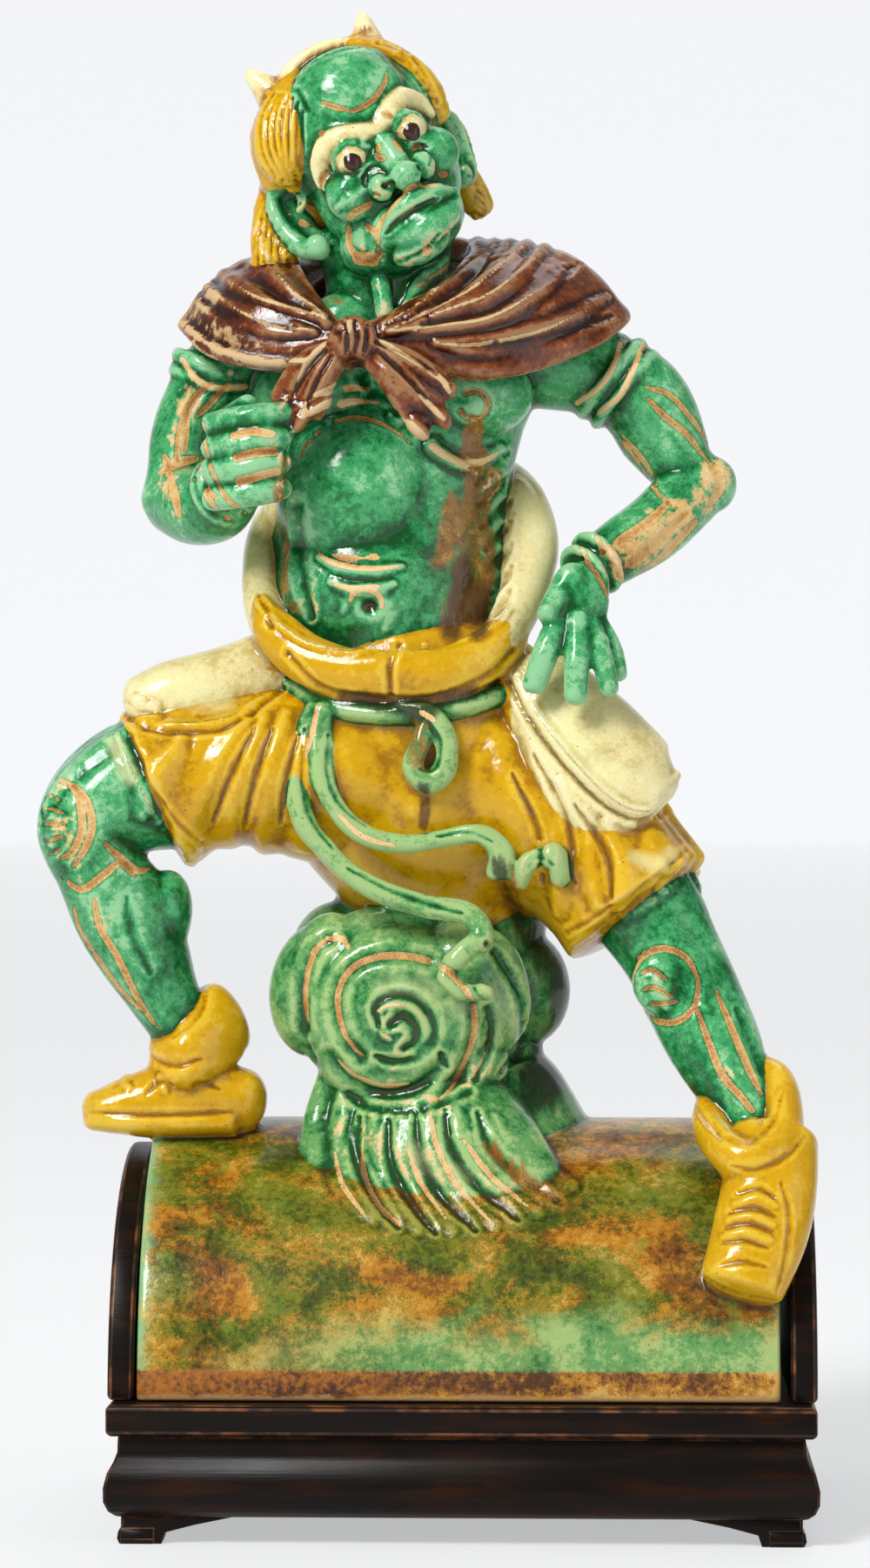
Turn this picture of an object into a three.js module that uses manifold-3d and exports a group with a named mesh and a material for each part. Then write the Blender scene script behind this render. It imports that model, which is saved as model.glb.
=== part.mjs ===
// A glazed stoneware roof ridge figure: a horned guardian demon in a shoulder cape, loose shorts
// and short boots, striding over a cloud that rises from a half-round ridge tile. Figure, cloud and
// tile are fired as one piece. It sits on a waisted hardwood stand whose two arched end boards
// hold the tile. Millimetres, +Z up, the front facing -Y, the origin under the middle of it all.

import * as THREE from "three";
import { mergeVertices } from "three/addons/utils/BufferGeometryUtils.js";
import Module from "manifold-3d";

const wasm = await Module();
wasm.setup();

// ---- driving dimensions ----
const standLength = 280;
const standDepth = 232;
const boardTop = 55; // height of the board that carries the tile
const boardThickness = 12.5;
const joint = 0.3; // the gap left between two touching pieces
const railBottom = 10.8;
const endBoardThickness = 10.5;
const endBoardHeight = 94;
const endBoardHalfDepth = 102;
const tileRadius = 104.6;
const tileWall = 15;
const tileLength = 253;
const figureShift = [-3, 0, 1.8]; // from the frame the figure is drawn in to the middle of the stand

const glazeGreen = 0x2f9a68;
const darkWood = 0x2a1712;

const tileBase = boardTop + joint;

// ---- small tools ----
const vectors = (points) => points.map((p) => new THREE.Vector3(...p));
const radians = THREE.MathUtils.degToRad;

// A mesh whose shared vertices are merged, as a solid that faces outwards.
function solid(geometry) {
  const bare = new THREE.BufferGeometry();
  bare.setAttribute("position", geometry.getAttribute("position"));
  if (geometry.index) bare.setIndex(geometry.index);
  const merged = mergeVertices(bare, 1e-4);
  const corners = new Uint32Array(merged.index.array);
  const kept = [];
  for (let i = 0; i < corners.length; i += 3) {
    const [a, b, c] = corners.subarray(i, i + 3);
    if (a !== b && b !== c && c !== a) kept.push(a, b, c);
  }
  const build = (triVerts) =>
    new wasm.Manifold(
      new wasm.Mesh({ numProp: 3, vertProperties: merged.attributes.position.array, triVerts }),
    );
  const made = build(new Uint32Array(kept));
  if (made.volume() >= 0) return made;
  const turned = kept.slice();
  for (let i = 0; i < turned.length; i += 3) [turned[i + 1], turned[i + 2]] = [turned[i + 2], turned[i + 1]];
  return build(new Uint32Array(turned));
}

const fuse = (solids) => wasm.Manifold.union(solids);

// A solid back as three.js geometry.
function geometryOf(manifold) {
  const mesh = manifold.getMesh();
  const geometry = new THREE.BufferGeometry();
  geometry.setAttribute("position", new THREE.BufferAttribute(new Float32Array(mesh.vertProperties), 3));
  geometry.setIndex(new THREE.BufferAttribute(new Uint32Array(mesh.triVerts), 1));
  geometry.computeVertexNormals();
  return geometry;
}

// Rings of points, each joined to the next; poles close the two ends, or the last ring meets the first.
function skin(rings, poles) {
  const sides = rings[0].length;
  const points = rings.flat();
  const faces = [];
  const count = poles ? rings.length - 1 : rings.length;
  for (let i = 0; i < count; i++) {
    const next = (i + 1) % rings.length;
    for (let j = 0; j < sides; j++) {
      const k = (j + 1) % sides;
      const [a, b, c, d] = [i * sides + j, i * sides + k, next * sides + k, next * sides + j];
      faces.push(a, b, c, a, c, d);
    }
  }
  if (poles) {
    const start = points.push(poles[0]) - 1;
    const end = points.push(poles[1]) - 1;
    const last = (rings.length - 1) * sides;
    for (let j = 0; j < sides; j++) {
      const k = (j + 1) % sides;
      faces.push(start, k, j, end, last + j, last + k);
    }
  }
  const geometry = new THREE.BufferGeometry().setFromPoints(points);
  geometry.setIndex(faces);
  return solid(geometry);
}

// An oval section carried along a smooth curve. radii are [across, through] at even steps along it,
// facing is the way the section's thickness points, curl bends its two edges back, and the
// ends are rounded unless the curve is closed.
function tube(path, radii, options = {}) {
  const { facing = [0, -1, 0], sides = 10, steps = 8, curl = 0, closed = false, dome = 0.8 } = options;
  const line = new THREE.CatmullRomCurve3(vectors(path), closed, "catmullrom", 0.5);
  const sizes = radii.length === 1 ? [radii[0], radii[0]] : radii;
  const size = new THREE.CatmullRomCurve3(
    sizes.map(([across, through]) => new THREE.Vector3(across, through, 0)), closed, "catmullrom", 0.5);
  const front = new THREE.Vector3(...facing);
  const full = 1 / Math.sqrt(Math.cos(Math.PI / sides)); // so that a section of few sides has its oval's area
  const ring = (t, scale, along) => {
    const { x: across, y: through } = size.getPoint(t);
    const way = line.getTangent(t);
    const side = new THREE.Vector3().crossVectors(front, way).normalize();
    const out = new THREE.Vector3().crossVectors(way, side).normalize();
    const centre = line.getPoint(t).addScaledVector(way, along * Math.min(across, through) * dome);
    const points = [];
    for (let j = 0; j < sides; j++) {
      const angle = (2 * Math.PI * j) / sides;
      const grown = scale * full;
      const bend = curl * across * scale * Math.cos(angle) ** 2;
      points.push(
        centre.clone()
          .addScaledVector(side, across * grown * Math.cos(angle))
          .addScaledVector(out, through * grown * Math.sin(angle) - bend));
    }
    return { points, centre };
  };
  const rings = [];
  if (closed) {
    for (let i = 0; i < steps; i++) rings.push(ring(i / steps, 1, 0).points);
    return skin(rings, null);
  }
  const shoulder = radians(50);
  rings.push(ring(0, Math.cos(shoulder), -Math.sin(shoulder)).points);
  for (let i = 0; i <= steps; i++) rings.push(ring(i / steps, 1, 0).points);
  rings.push(ring(1, Math.cos(shoulder), Math.sin(shoulder)).points);
  return skin(rings, [ring(0, 0, -1).centre, ring(1, 0, 1).centre]);
}

// An egg: a sphere with three radii, turned by three angles in degrees.
function egg(centre, radii, turn = [0, 0, 0], sides = 8, rows = 5) {
  const geometry = new THREE.SphereGeometry(1, sides, rows);
  geometry.rotateX(Math.PI / 2);
  geometry.scale(...radii);
  geometry.applyMatrix4(
    new THREE.Matrix4().makeRotationFromEuler(new THREE.Euler(...turn.map(radians), "XYZ")));
  geometry.translate(...centre);
  return solid(geometry);
}

// A ring-shaped band round a limb.
function band(centre, axis, radius, thickness, steps = 14, sides = 6) {
  const geometry = new THREE.TorusGeometry(radius, thickness, sides, steps);
  const turn = new THREE.Quaternion().setFromUnitVectors(
    new THREE.Vector3(0, 0, 1), new THREE.Vector3(...axis).normalize());
  geometry.applyQuaternion(turn);
  geometry.translate(...centre);
  return solid(geometry);
}

// ---- the ridge tile: a half-round channel, open below and at both ends ----
function tile() {
  const shape = new THREE.Shape();
  const inner = tileRadius - tileWall;
  shape.moveTo(tileRadius, 0);
  shape.absarc(0, 0, tileRadius, 0, Math.PI, false);
  shape.lineTo(-inner, 0);
  shape.absarc(0, 0, inner, Math.PI, 0, true);
  shape.closePath();
  const rounding = 2.5;
  const geometry = new THREE.ExtrudeGeometry(shape, {
    depth: tileLength - 2 * rounding, curveSegments: 18, steps: 1,
    bevelThickness: rounding, bevelSize: rounding, bevelOffset: -rounding, bevelSegments: 1,
  });
  geometry.translate(0, 0, rounding - tileLength / 2);
  geometry.rotateX(Math.PI / 2); // the arch now stands in X and Z, run along Y
  geometry.rotateZ(Math.PI / 2);
  geometry.translate(-1.5, 0, tileBase);
  const bottom = new THREE.BoxGeometry(400, 400, 50);
  bottom.translate(0, 0, tileBase - 25);
  return solid(geometry).subtract(solid(bottom));
}

// ---- the cloud: a stem that flares over the tile, flowing ribs, lobes and one big scroll ----
function cloudStem() {
  const stem = tube([[-6, 2, 136], [-7, 2, 158], [-11, 2, 170], [-14, 2, 182], [-14, 3, 208], [-8, 2, 246]],
    [[76, 56], [55, 44], [43, 37], [38, 33], [46, 34], [44, 34]], { sides: 16, steps: 9 });
  const apron = tube([[-15, -4, 184], [-14, -18, 160], [-10, -38, 142], [0, -56, 122]],
    [[36, 28], [40, 26], [42, 23], [38, 14]], { sides: 12, steps: 5 });
  return [stem, apron];
}

function cloudRibs() {
  // Each rib leaves the neck and swings to the right as it runs down the tile's front.
  const ribs = [
    [[-52, -33, 178], [-56, -38, 160], [-54, -54, 146], [-45, -74, 128]],
    [[-44, -37, 174], [-46, -46, 156], [-42, -62, 140], [-32, -77, 126]],
    [[-34, -40, 170], [-34, -50, 154], [-29, -66, 137], [-19, -81, 120]],
    [[-25, -42, 168], [-23, -54, 152], [-17, -68, 136], [-8, -79, 122]],
    [[-15, -42, 168], [-12, -54, 152], [-6, -68, 137], [4, -78, 124]],
    [[-5, -40, 168], [-1, -52, 152], [6, -68, 136], [18, -81, 120]],
    [[6, -36, 170], [10, -48, 154], [17, -62, 141], [28, -74, 130]],
    [[16, -28, 174], [19, -38, 160], [26, -52, 148], [40, -61, 141]],
  ];
  return ribs.map((path) => tube(path, [[5, 4.5], [5.5, 5], [4, 4]], { facing: [0, -1, 0.6], sides: 5, steps: 3 }));
}

// The big scroll: an oval boss, and a spiral that opens from its eye (X and Z).
const cloud = { centre: [-23, -42, 204], width: 40, height: 35, depth: 18, eye: [-23, 195], turns: 1.85, eyeRadius: 5,
  endRadius: 32 };

function cloudScroll() {
  const disc = egg(cloud.centre, [cloud.width, cloud.depth, cloud.height], [0, 0, 0], 14, 7);
  const spiral = [];
  const points = 24;
  for (let i = 0; i <= points; i++) {
    const t = i / points;
    const angle = radians(-30) + 2 * Math.PI * cloud.turns * t;
    const radius = cloud.eyeRadius + (cloud.endRadius - cloud.eyeRadius) * t ** 1.3;
    const x = cloud.eye[0] - radius * Math.cos(angle);
    const z = cloud.eye[1] + radius * Math.sin(angle);
    const out = ((x - cloud.centre[0]) / cloud.width) ** 2 + ((z - cloud.centre[2]) / cloud.height) ** 2;
    spiral.push([x, cloud.centre[1] - cloud.depth * Math.sqrt(Math.max(0.1, 1 - out)), z]);
  }
  return [disc, tube(spiral, [[2, 2.4], [2.8, 2.8]], { sides: 4, steps: 24 })];
}

function cloudLobes() {
  return [
    egg([-58, -26, 212], [20, 16, 28], [0, 8, 0], 10, 6),
    egg([-43, -33, 184], [15, 13, 15], [0, 0, 0], 8, 5),
    egg([10, -32, 212], [19, 15, 27], [0, -10, 0], 10, 6),
    egg([4, -30, 183], [16, 14, 16], [0, 0, 0], 8, 5),
    egg([24, 2, 212], [21, 24, 25], [0, -8, 0], 10, 6),
    egg([18, 4, 184], [16, 20, 15], [0, 0, 0], 8, 5),
    egg([-52, 0, 226], [19, 22, 22], [0, 15, 0], 10, 6),
    egg([-12, 30, 206], [42, 16, 34], [0, 0, 0], 10, 6),
  ];
}

// ---- legs and boots ----
const leftLegPath = [[-100, -26, 300], [-132, -33, 294], [-150, -37, 280], [-146, -35, 262], [-137, -32, 244],
  [-129, -30, 227], [-121, -28, 210], [-111, -26, 190]];
const rightLegPath = [[58, -24, 266], [74, -30, 248], [86, -36, 228], [95, -41, 209], [106, -52, 186], [117, -66, 162]];

function legs() {
  return [
    tube(leftLegPath, [[29, 26], [27, 25], [22, 23], [20, 21], [20, 20], [19, 19], [15, 16], [11, 12]],
      { sides: 9, steps: 9 }),
    egg([-153, -42, 283], [17, 14, 20], [0, 20, 0], 8, 5), // the bent knee
    tube(rightLegPath, [[27, 24], [24, 23], [20.5, 20], [20, 20], [18, 17], [11, 12]], { sides: 9, steps: 7 }),
    egg([83, -52, 216], [13, 8, 14], [0, -20, 0], 8, 5),
  ];
}

function boots() {
  return [
    tube([[-89, -25, 167], [-106, -26, 168], [-131, -28, 165], [-148, -30, 163]],
      [[13, 15], [17, 17], [13.5, 16], [8, 12]], { sides: 9, steps: 4 }),
    tube([[-106, -26, 168], [-108, -26, 192]], [[16, 16], [15, 15]], { sides: 8, steps: 1 }),
    tube([[-121, -26, 188], [-110, -41, 188], [-96, -25, 200], [-107, -9, 201]], [[6, 7], [7, 10], [7, 14], [7, 10]],
      { closed: true, sides: 5, steps: 10, facing: [0.55, 0, -1] }),
    tube([[126, -74, 154], [124, -86, 136], [120, -95, 119], [113, -103, 100]],
      [[18, 15], [19, 15], [19, 13], [17, 12]], { sides: 9, steps: 4, facing: [0, -0.8, 0.6], dome: 0.4 }),
    tube([[101, -68, 161], [106, -84, 152], [116, -91, 147], [127, -87, 151], [131, -74, 163], [128, -60, 177],
      [117, -50, 178], [105, -54, 170]],
    [[7, 8], [8, 9], [7, 9], [7, 8]], { closed: true, sides: 5, steps: 12, facing: [0.35, 0.25, -1] }),
  ];
}

// ---- torso and waist ----
function torso() {
  return [
    tube([[-37, -3, 526], [-30, 0, 502], [-28, 4, 480], [-28, 5, 462], [-27, 4, 440], [-28, 2, 415], [-30, 0, 392],
      [-31, 0, 366], [-30, 0, 345]],
    [[25, 25], [28, 26], [52, 30], [64, 34], [52, 37], [47, 38], [49, 40], [51, 42], [46, 40]],
    { sides: 14, steps: 10, dome: 0.4 }),
    egg([-42, -16, 416], [34, 31, 40], [0, 4, 0], 12, 8), // the upper belly
    egg([-36, -12, 376], [42, 34, 34], [0, 0, 0], 12, 7), // the lower belly
    egg([-58, -18, 456], [27, 20, 17], [0, 0, 0], 10, 6), // breasts
    egg([3, -14, 456], [27, 20, 19], [0, 0, 0], 10, 6),
  ];
}

function robe() {
  // The jacket is stripped to the waist: a thick roll round the hips, high at the back.
  const roll = tube([[-27, -49, 337], [-54, -43, 342], [-75, -32, 356], [-82, -14, 382], [-77, 14, 406], [-52, 38, 422],
    [-16, 42, 428], [12, 32, 426], [26, 6, 410], [29, -14, 388], [20, -34, 360], [0, -46, 341]],
  [[10, 8], [10, 8], [9, 8], [8, 8], [9, 9], [10, 9], [12, 9], [12, 9], [11, 10], [11, 10], [10, 9], [10, 8]],
  { closed: true, sides: 6, steps: 22, facing: [0, -0.35, -1] });
  const bunched = tube([[-30, 8, 424], [-30, 12, 390], [-28, 8, 350]], [[50, 36], [56, 38], [54, 44]],
    { sides: 12, steps: 2, dome: 0.3 });
  return [roll, bunched];
}

function shorts() {
  const pelvis = tube([[-24, 0, 346], [-20, -2, 322], [-14, -3, 296], [-10, -3, 270], [-8, -2, 246]],
    [[50, 44], [56, 48], [60, 49], [54, 46], [38, 36]], { sides: 14, steps: 4, dome: 0.5 });
  const leftLeg = tube([[-16, -6, 296], [-52, -14, 300], [-88, -21, 303], [-108, -24, 300], [-124, -26, 293]],
    [[42, 42], [38, 40], [33, 36], [32, 34], [34, 36]], { sides: 12, steps: 5, dome: 0.15 });
  const rightLeg = tube([[-6, -6, 300], [24, -12, 290], [50, -20, 272], [63, -26, 258], [72, -29, 246]],
    [[44, 42], [41, 41], [37, 38], [34, 37], [34, 37]], { sides: 12, steps: 5, dome: 0.15 });
  return [pelvis, leftLeg, rightLeg];
}

function shortsFolds() {
  const folds = [
    [[-66, -48, 322], [-78, -54, 300], [-86, -50, 276]],
    [[-50, -48, 322], [-58, -54, 300], [-66, -50, 272]],
    [[22, -50, 318], [30, -57, 284], [44, -58, 244]],
    [[40, -52, 300], [56, -61, 276], [70, -62, 252]],
  ];
  return folds.map((path) => tube(path, [[4, 3], [6, 5], [4, 3]], { sides: 5, steps: 2 }));
}

function hipFlaps() {
  return [
    tube([[-70, -22, 352], [-96, -28, 339], [-118, -31, 333], [-130, -32, 330]],
      [[15, 8], [18, 11], [18, 11], [14, 9]], { facing: [-0.1, -0.85, 0.6], sides: 10, steps: 5, curl: 0.3 }),
    tube([[30, -34, 344], [50, -45, 319], [66, -51, 299], [76, -51, 289]],
      [[18, 6], [26, 7], [28, 8], [21, 7]], { facing: [0.4, -1, 0.2], sides: 10, steps: 5, curl: 0.25 }),
    tube([[-70, 18, 346], [-90, 12, 334], [-110, 4, 322]], [[22, 6], [26, 7], [18, 6]],
      { facing: [-0.3, 1, 0.5], sides: 8, steps: 4, curl: 0.3 }),
    tube([[18, 24, 340], [42, 16, 316], [62, 6, 290]], [[22, 6], [27, 7], [20, 6]],
      { facing: [0.5, 1, 0.2], sides: 8, steps: 4, curl: 0.3 }),
  ];
}

function sash() {
  const belt = tube([[-22, -51, 324], [-50, -45, 327], [-72, -24, 340], [-78, 4, 350], [-60, 34, 352], [-22, 47, 350],
    [14, 38, 348], [32, 6, 344], [26, -26, 338], [6, -46, 328]],
  [[5, 4]], { closed: true, sides: 4, steps: 16, facing: [0, 0, 1] });
  const longTail = tube([[-58, -46, 326], [-66, -50, 306], [-63, -54, 284], [-50, -55, 266], [-34, -55, 254],
    [-14, -55, 247], [4, -56, 244], [10, -58, 235], [2, -62, 228], [-4, -62, 220], [2, -62, 213], [12, -58, 212]],
  [[4.5, 4], [4.5, 4], [5, 4], [4.5, 4], [3.5, 3.5]], { sides: 5, steps: 16 });
  const shortTail = tube([[-55, -48, 326], [-55, -54, 304], [-50, -57, 288], [-38, -58, 276], [-22, -58, 272],
    [-6, -57, 274], [9, -57, 276], [17, -57, 269], [17, -56, 260]],
  [[4.5, 4], [4.5, 4], [4, 4], [6, 4]], { sides: 5, steps: 10 });
  const tip = tube([[25, -56, 257], [30, -60, 265], [39, -60, 267], [43, -58, 259]], [[3.5, 4], [5, 4]],
    { sides: 5, steps: 4 });
  const loop = tube([[-22, -52, 328], [-9, -56, 322], [-4, -57, 312], [-6, -57, 301], [-13, -57, 297], [-18, -57, 303],
    [-15, -57, 312], [-13, -55, 320]],
  [[4, 4], [5, 4.5], [4, 4]], { sides: 5, steps: 8 });
  return [belt, longTail, shortTail, tip, loop];
}

// ---- arms and hands ----
function foldedArm() {
  const upper = tube([[-86, 6, 479], [-102, 5, 464], [-111, 4, 450], [-115, 2, 438], [-116.5, 0, 425], [-117, -2, 414]],
    [[20, 20], [17, 18], [14.5, 16], [13.5, 15], [14, 15], [16, 16]], { sides: 9, steps: 5 });
  const lower = tube([[-117, -3, 413], [-108, -18, 410], [-99, -32, 410], [-91, -44, 416]],
    [[15, 15], [16, 16], [15, 15], [12.5, 13]], { facing: [0.5, 0.5, 1], sides: 9, steps: 4 });
  const fist = egg([-85, -53, 429], [15, 13, 20], [0, 0, 0], 8, 6);
  const fingers = [442, 432, 422, 412].map((z, i) => tube(
    [[-94, -59 - (i % 3 ? 3 : 0), z - 1], [-75, -62 - (i % 3 ? 3 : 0), z + 1]], [[6, 6]], { sides: 5, steps: 1 }));
  const thumb = tube([[-93, -50, 443], [-84, -55, 447]], [[5.5, 5.5]], { sides: 6, steps: 1 });
  return [upper, lower, fist, ...fingers, thumb,
    band([-103, 5, 467], [-0.5, 0, -1], 17, 3, 10, 4),
    band([-94, -42, 416], [0.6, -0.8, 0.4], 13, 3, 8, 4)];
}

function akimboArm() {
  const upper = tube([[34, 6, 474], [58, 6, 466], [74, 7, 456], [83, 8, 441], [91, 7, 428], [98, 6, 421]],
    [[23, 22], [18.5, 19], [19, 19], [18, 18], [14, 15], [12, 13]], { sides: 9, steps: 7 });
  const elbow = egg([103, 6, 420], [11, 12, 12], [0, 0, 0], 8, 5);
  const lower = tube([[97, 5, 419], [80, -8, 402], [66, -20, 392], [53, -32, 383]],
    [[14, 14], [14, 14], [13, 13], [11, 10]], { sides: 9, steps: 4 });
  const palm = egg([48, -44, 368], [13, 9, 17], [0, 12, 0], 8, 6);
  const fingers = [
    [[[44, -42, 378], [39, -49, 368], [35, -53, 360]], 5.5],
    [[[42, -48, 364], [35, -55, 350], [30, -54, 337]], 6],
    [[[48, -50, 362], [48, -58, 346], [47, -60, 331]], 5.5],
    [[[53, -48, 360], [58, -56, 347], [61, -57, 334]], 5],
    [[[56, -44, 362], [62, -47, 351], [65, -47, 340]], 4.5],
  ].map(([path, r]) => tube(path, [[r, r], [r, r], [r * 0.85, r * 0.85]], { sides: 5, steps: 2 }));
  return [upper, elbow, lower, palm, ...fingers,
    band([62, 6, 464], [0.77, 0, -0.64], 19, 3, 10, 4),
    band([53, -33, 384], [1, 0.8, 0.7], 11.5, 3, 8, 4)];
}

// ---- the cape: a domed collar with folds that run to the knot ----
const capeHem = [[-42, -46, 465], [-70, -44, 463], [-98, -32, 469], [-114, 0, 484], [-101, 36, 480], [-64, 48, 474],
  [-28, 52, 472], [12, 48, 476], [46, 36, 482], [67, 4, 488], [52, -28, 473], [14, -44, 460]];
const capeNeck = [[-42, -47, 480], [-52, -38, 488], [-62, -26, 502], [-66, 2, 512], [-59, 20, 518], [-48, 28, 521],
  [-36, 30, 524], [-22, 28, 524], [-8, 20, 521], [2, 4, 516], [-6, -24, 502], [-24, -40, 488]];

function cape() {
  const hem = new THREE.CatmullRomCurve3(vectors(capeHem), true, "catmullrom", 0.5);
  const neck = new THREE.CatmullRomCurve3(vectors(capeNeck), true, "catmullrom", 0.5);
  const middle = new THREE.Vector3(-30, 0, 440);
  const steps = 32;
  const rings = [];
  for (let i = 0; i < steps; i++) {
    const t = i / steps;
    const [low, high] = [hem.getPoint(t), neck.getPoint(t)];
    const fold = 1 + 0.9 * Math.cos(2 * Math.PI * 16 * t) * Math.min(1, 6 * t, 6 * (1 - t));
    const at = (share, proud) => {
      const point = new THREE.Vector3().lerpVectors(high, low, share);
      const out = point.clone().sub(middle).normalize();
      return point.addScaledVector(out, proud);
    };
    const dome = low.distanceTo(high) * 0.2;
    rings.push([at(0, 3), at(0.3, 3 + dome * 0.7 + fold), at(0.65, 3 + dome + fold), at(1, 2), at(0.95, -4),
      at(0.4, -8), at(0, -5)]);
  }
  return skin(rings, null);
}

function capeKnot() {
  return [
    egg([-42, -57, 475], [10, 8, 9], [0, 0, 0], 8, 6),
    tube([[-48, -55, 472], [-60, -55, 464], [-67, -53, 452]], [[4, 4], [8, 5], [10, 4]], { sides: 6, steps: 3 }),
    tube([[-47, -56, 470], [-54, -56, 459], [-58, -55, 449]], [[4, 4], [7, 5], [8, 4]], { sides: 6, steps: 3 }),
    tube([[-36, -56, 472], [-22, -57, 466], [-8, -55, 457]], [[4, 4], [6, 5], [7, 4]], { sides: 6, steps: 3 }),
    tube([[-36, -56, 469], [-24, -58, 457], [-11, -56, 445]], [[4, 4], [8, 5], [10, 4]], { sides: 6, steps: 3 }),
  ];
}

// ---- the head, in its own frame: the face looks along -Y, then the whole is turned and tilted ----
const headCentre = [-38, -10, 553];
const headTurn = new THREE.Matrix4()
  .multiply(new THREE.Matrix4().makeRotationY(radians(-29)))
  .multiply(new THREE.Matrix4().makeRotationZ(radians(12)))
  .multiply(new THREE.Matrix4().makeRotationX(radians(-2)));

function placeHead(manifold) {
  const placed = new THREE.Matrix4().makeTranslation(...headCentre).multiply(headTurn);
  return manifold.transform(placed.elements);
}

function skull() {
  return [
    egg([0, 2, 12], [35, 37, 36], [0, 0, 0], 14, 9),
    egg([1, -13, 25], [25, 22, 20], [0, 0, 0], 10, 7),
    egg([0, -9, -13], [31, 27, 30], [0, 0, 0], 12, 7),
    egg([-4, -8, -33], [28, 23, 18], [0, 0, 0], 10, 6),
  ];
}

function face() {
  const both = (make) => [make(1), make(-1)];
  return [
    ...both((s) => egg([s * 19, -25, -13], [11, 10, 11], [0, 0, 0], 8, 6)),
    ...both((s) => tube([[s * 0 + 2, -35, 3], [s * 9 + 1, -35, 8], [s * 18, -32, 10], [s * 26, -25, 4]],
      [[4, 4], [4.5, 4], [4, 4], [3, 3]], { sides: 6, steps: 4 })),
    ...both((s) => egg([s * 13.7, -29, -2.2], [6.5, 6.5, 6.2], [0, 0, 0], 8, 6)),
    tube([[1, -34, -3], [1, -38, -13], [0.4, -41, -21]], [[4.5, 5], [5, 6], [7, 6]], { sides: 7, steps: 2 }),
    ...both((s) => egg([s * 10.5, -35, -17], [5, 5.5, 5], [0, 0, 0], 7, 5)),
    egg([-1, -26, -35], [20, 13, 13], [0, 0, 0], 9, 6),
    tube([[-15, -31, -32.5], [-8, -36, -29.5], [0, -38.5, -28.5], [8, -36.5, -30], [15, -32, -32.5]],
      [[2.5, 3], [4.5, 4], [2.5, 3]], { sides: 6, steps: 5 }),
    tube([[-14, -31, -36.5], [-7, -35.5, -38.5], [0, -37.5, -39.5], [7, -36, -38.5], [14, -32, -36.5]],
      [[2.5, 3], [5, 4.5], [2.5, 3]], { sides: 6, steps: 5 }),
    egg([-5, -27, -44], [13, 10, 7], [0, 0, 0], 8, 5),
    ...both((s) => tube([[s * 35, 4, 5], [s * 40, 5, -5], [s * 39, 3, -15], [s * 35, 0, -24]],
      [[4, 6], [4, 8], [4, 7], [5, 5]], { sides: 6, steps: 4 })),
  ];
}

function hair() {
  const both = (make) => [make(1), make(-1)];
  return [
    egg([0, 14, 6], [37, 30, 39], [0, 0, 0], 12, 7),
    tube([[-19, -4, 43], [-28, -6, 33], [-33, -8, 20], [-35, -7, 4]], [[10, 7], [13, 9], [13, 9], [8, 6]],
      { facing: [-1, -0.75, 0.4], sides: 9, steps: 4 }),
    tube([[16, -6, 43], [26, -8, 32], [33, -8, 17], [34, -7, 2]], [[9, 6], [11, 7], [11, 7], [7, 5]],
      { facing: [1, -0.5, 0.4], sides: 8, steps: 4 }),
    tube([[-36, 12, 6], [-40, 13, -6], [-45, 11, -16], [-47, 8, -26]], [[8, 8], [9, 9], [9, 8], [7, 7]],
      { sides: 6, steps: 3 }),
    tube([[29, 14, 2], [32, 16, -12], [34, 16, -26], [35, 17, -36]], [[7, 7], [7.5, 8], [7.5, 7], [6, 6]],
      { sides: 6, steps: 3 }),
    ...both((s) => tube([[s * 22, -3, 40], [s * 24.5, -4, 49], [s * 26.5, -4, 54]], [[7.5, 7.5], [4.5, 4.5], [1.5, 1.5]],
      { sides: 6, steps: 1, dome: 0.4 })),
  ];
}

function nostrils() {
  return [1, -1].map((s) => egg([s * 8, -40, -22.5], [2.2, 4, 1.8], [0, 0, 0], 7, 5));
}

function ridgeFigure() {
  const head = placeHead(fuse([...skull(), ...face(), ...hair()]).subtract(fuse(nostrils())));
  const navel = egg([-36, -45, 367], [3, 5, 2.5], [0, 0, 0], 8, 5);
  const figure = fuse([...cloudStem(), ...cloudRibs(), ...cloudScroll(), ...cloudLobes(), ...legs(), ...boots(),
    ...torso(), ...robe(), ...shorts(), ...shortsFolds(), ...hipFlaps(), ...sash(), ...foldedArm(), ...akimboArm(),
    cape(), ...capeKnot(), head]).subtract(navel).translate(figureShift);
  // The channel under the tile stays clear of everything above it.
  const channel = new THREE.CylinderGeometry(tileRadius - tileWall, tileRadius - tileWall, 400, 40);
  channel.rotateZ(Math.PI / 2);
  channel.translate(0, 0, tileBase);
  const body = fuse([tile(), figure]).subtract(solid(channel)).asOriginal().simplify(1.45);
  // Where rounded shapes meet they can enclose a pocket: clay fills it, so only the outer body is kept.
  return body.decompose().reduce((a, b) => (a.volume() > b.volume() ? a : b));
}

// ---- the stand ----
function plainMoulding(x, y, z, width, depth, height, rounding) {
  const shape = new THREE.Shape();
  shape.moveTo(-width / 2, -depth / 2);
  shape.lineTo(width / 2, -depth / 2);
  shape.lineTo(width / 2, depth / 2);
  shape.lineTo(-width / 2, depth / 2);
  shape.closePath();
  const geometry = new THREE.ExtrudeGeometry(shape, {
    depth: height - 2 * rounding, bevelThickness: rounding, bevelSize: rounding, bevelOffset: -rounding, bevelSegments: 1,
  });
  geometry.translate(x, y, z + rounding);
  return geometry;
}

// The rails' section from the waist down: how far in from the widest edge, and the height.
const railProfile = [[5.4, boardTop - boardThickness - joint], [5.2, 36], [3.8, 32.4], [1.4, 28.2], [0, 22.5],
  [0.1, 17], [1.8, 13.2], [4.8, railBottom], [20, railBottom], [20, boardTop - boardThickness - joint]];

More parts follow.
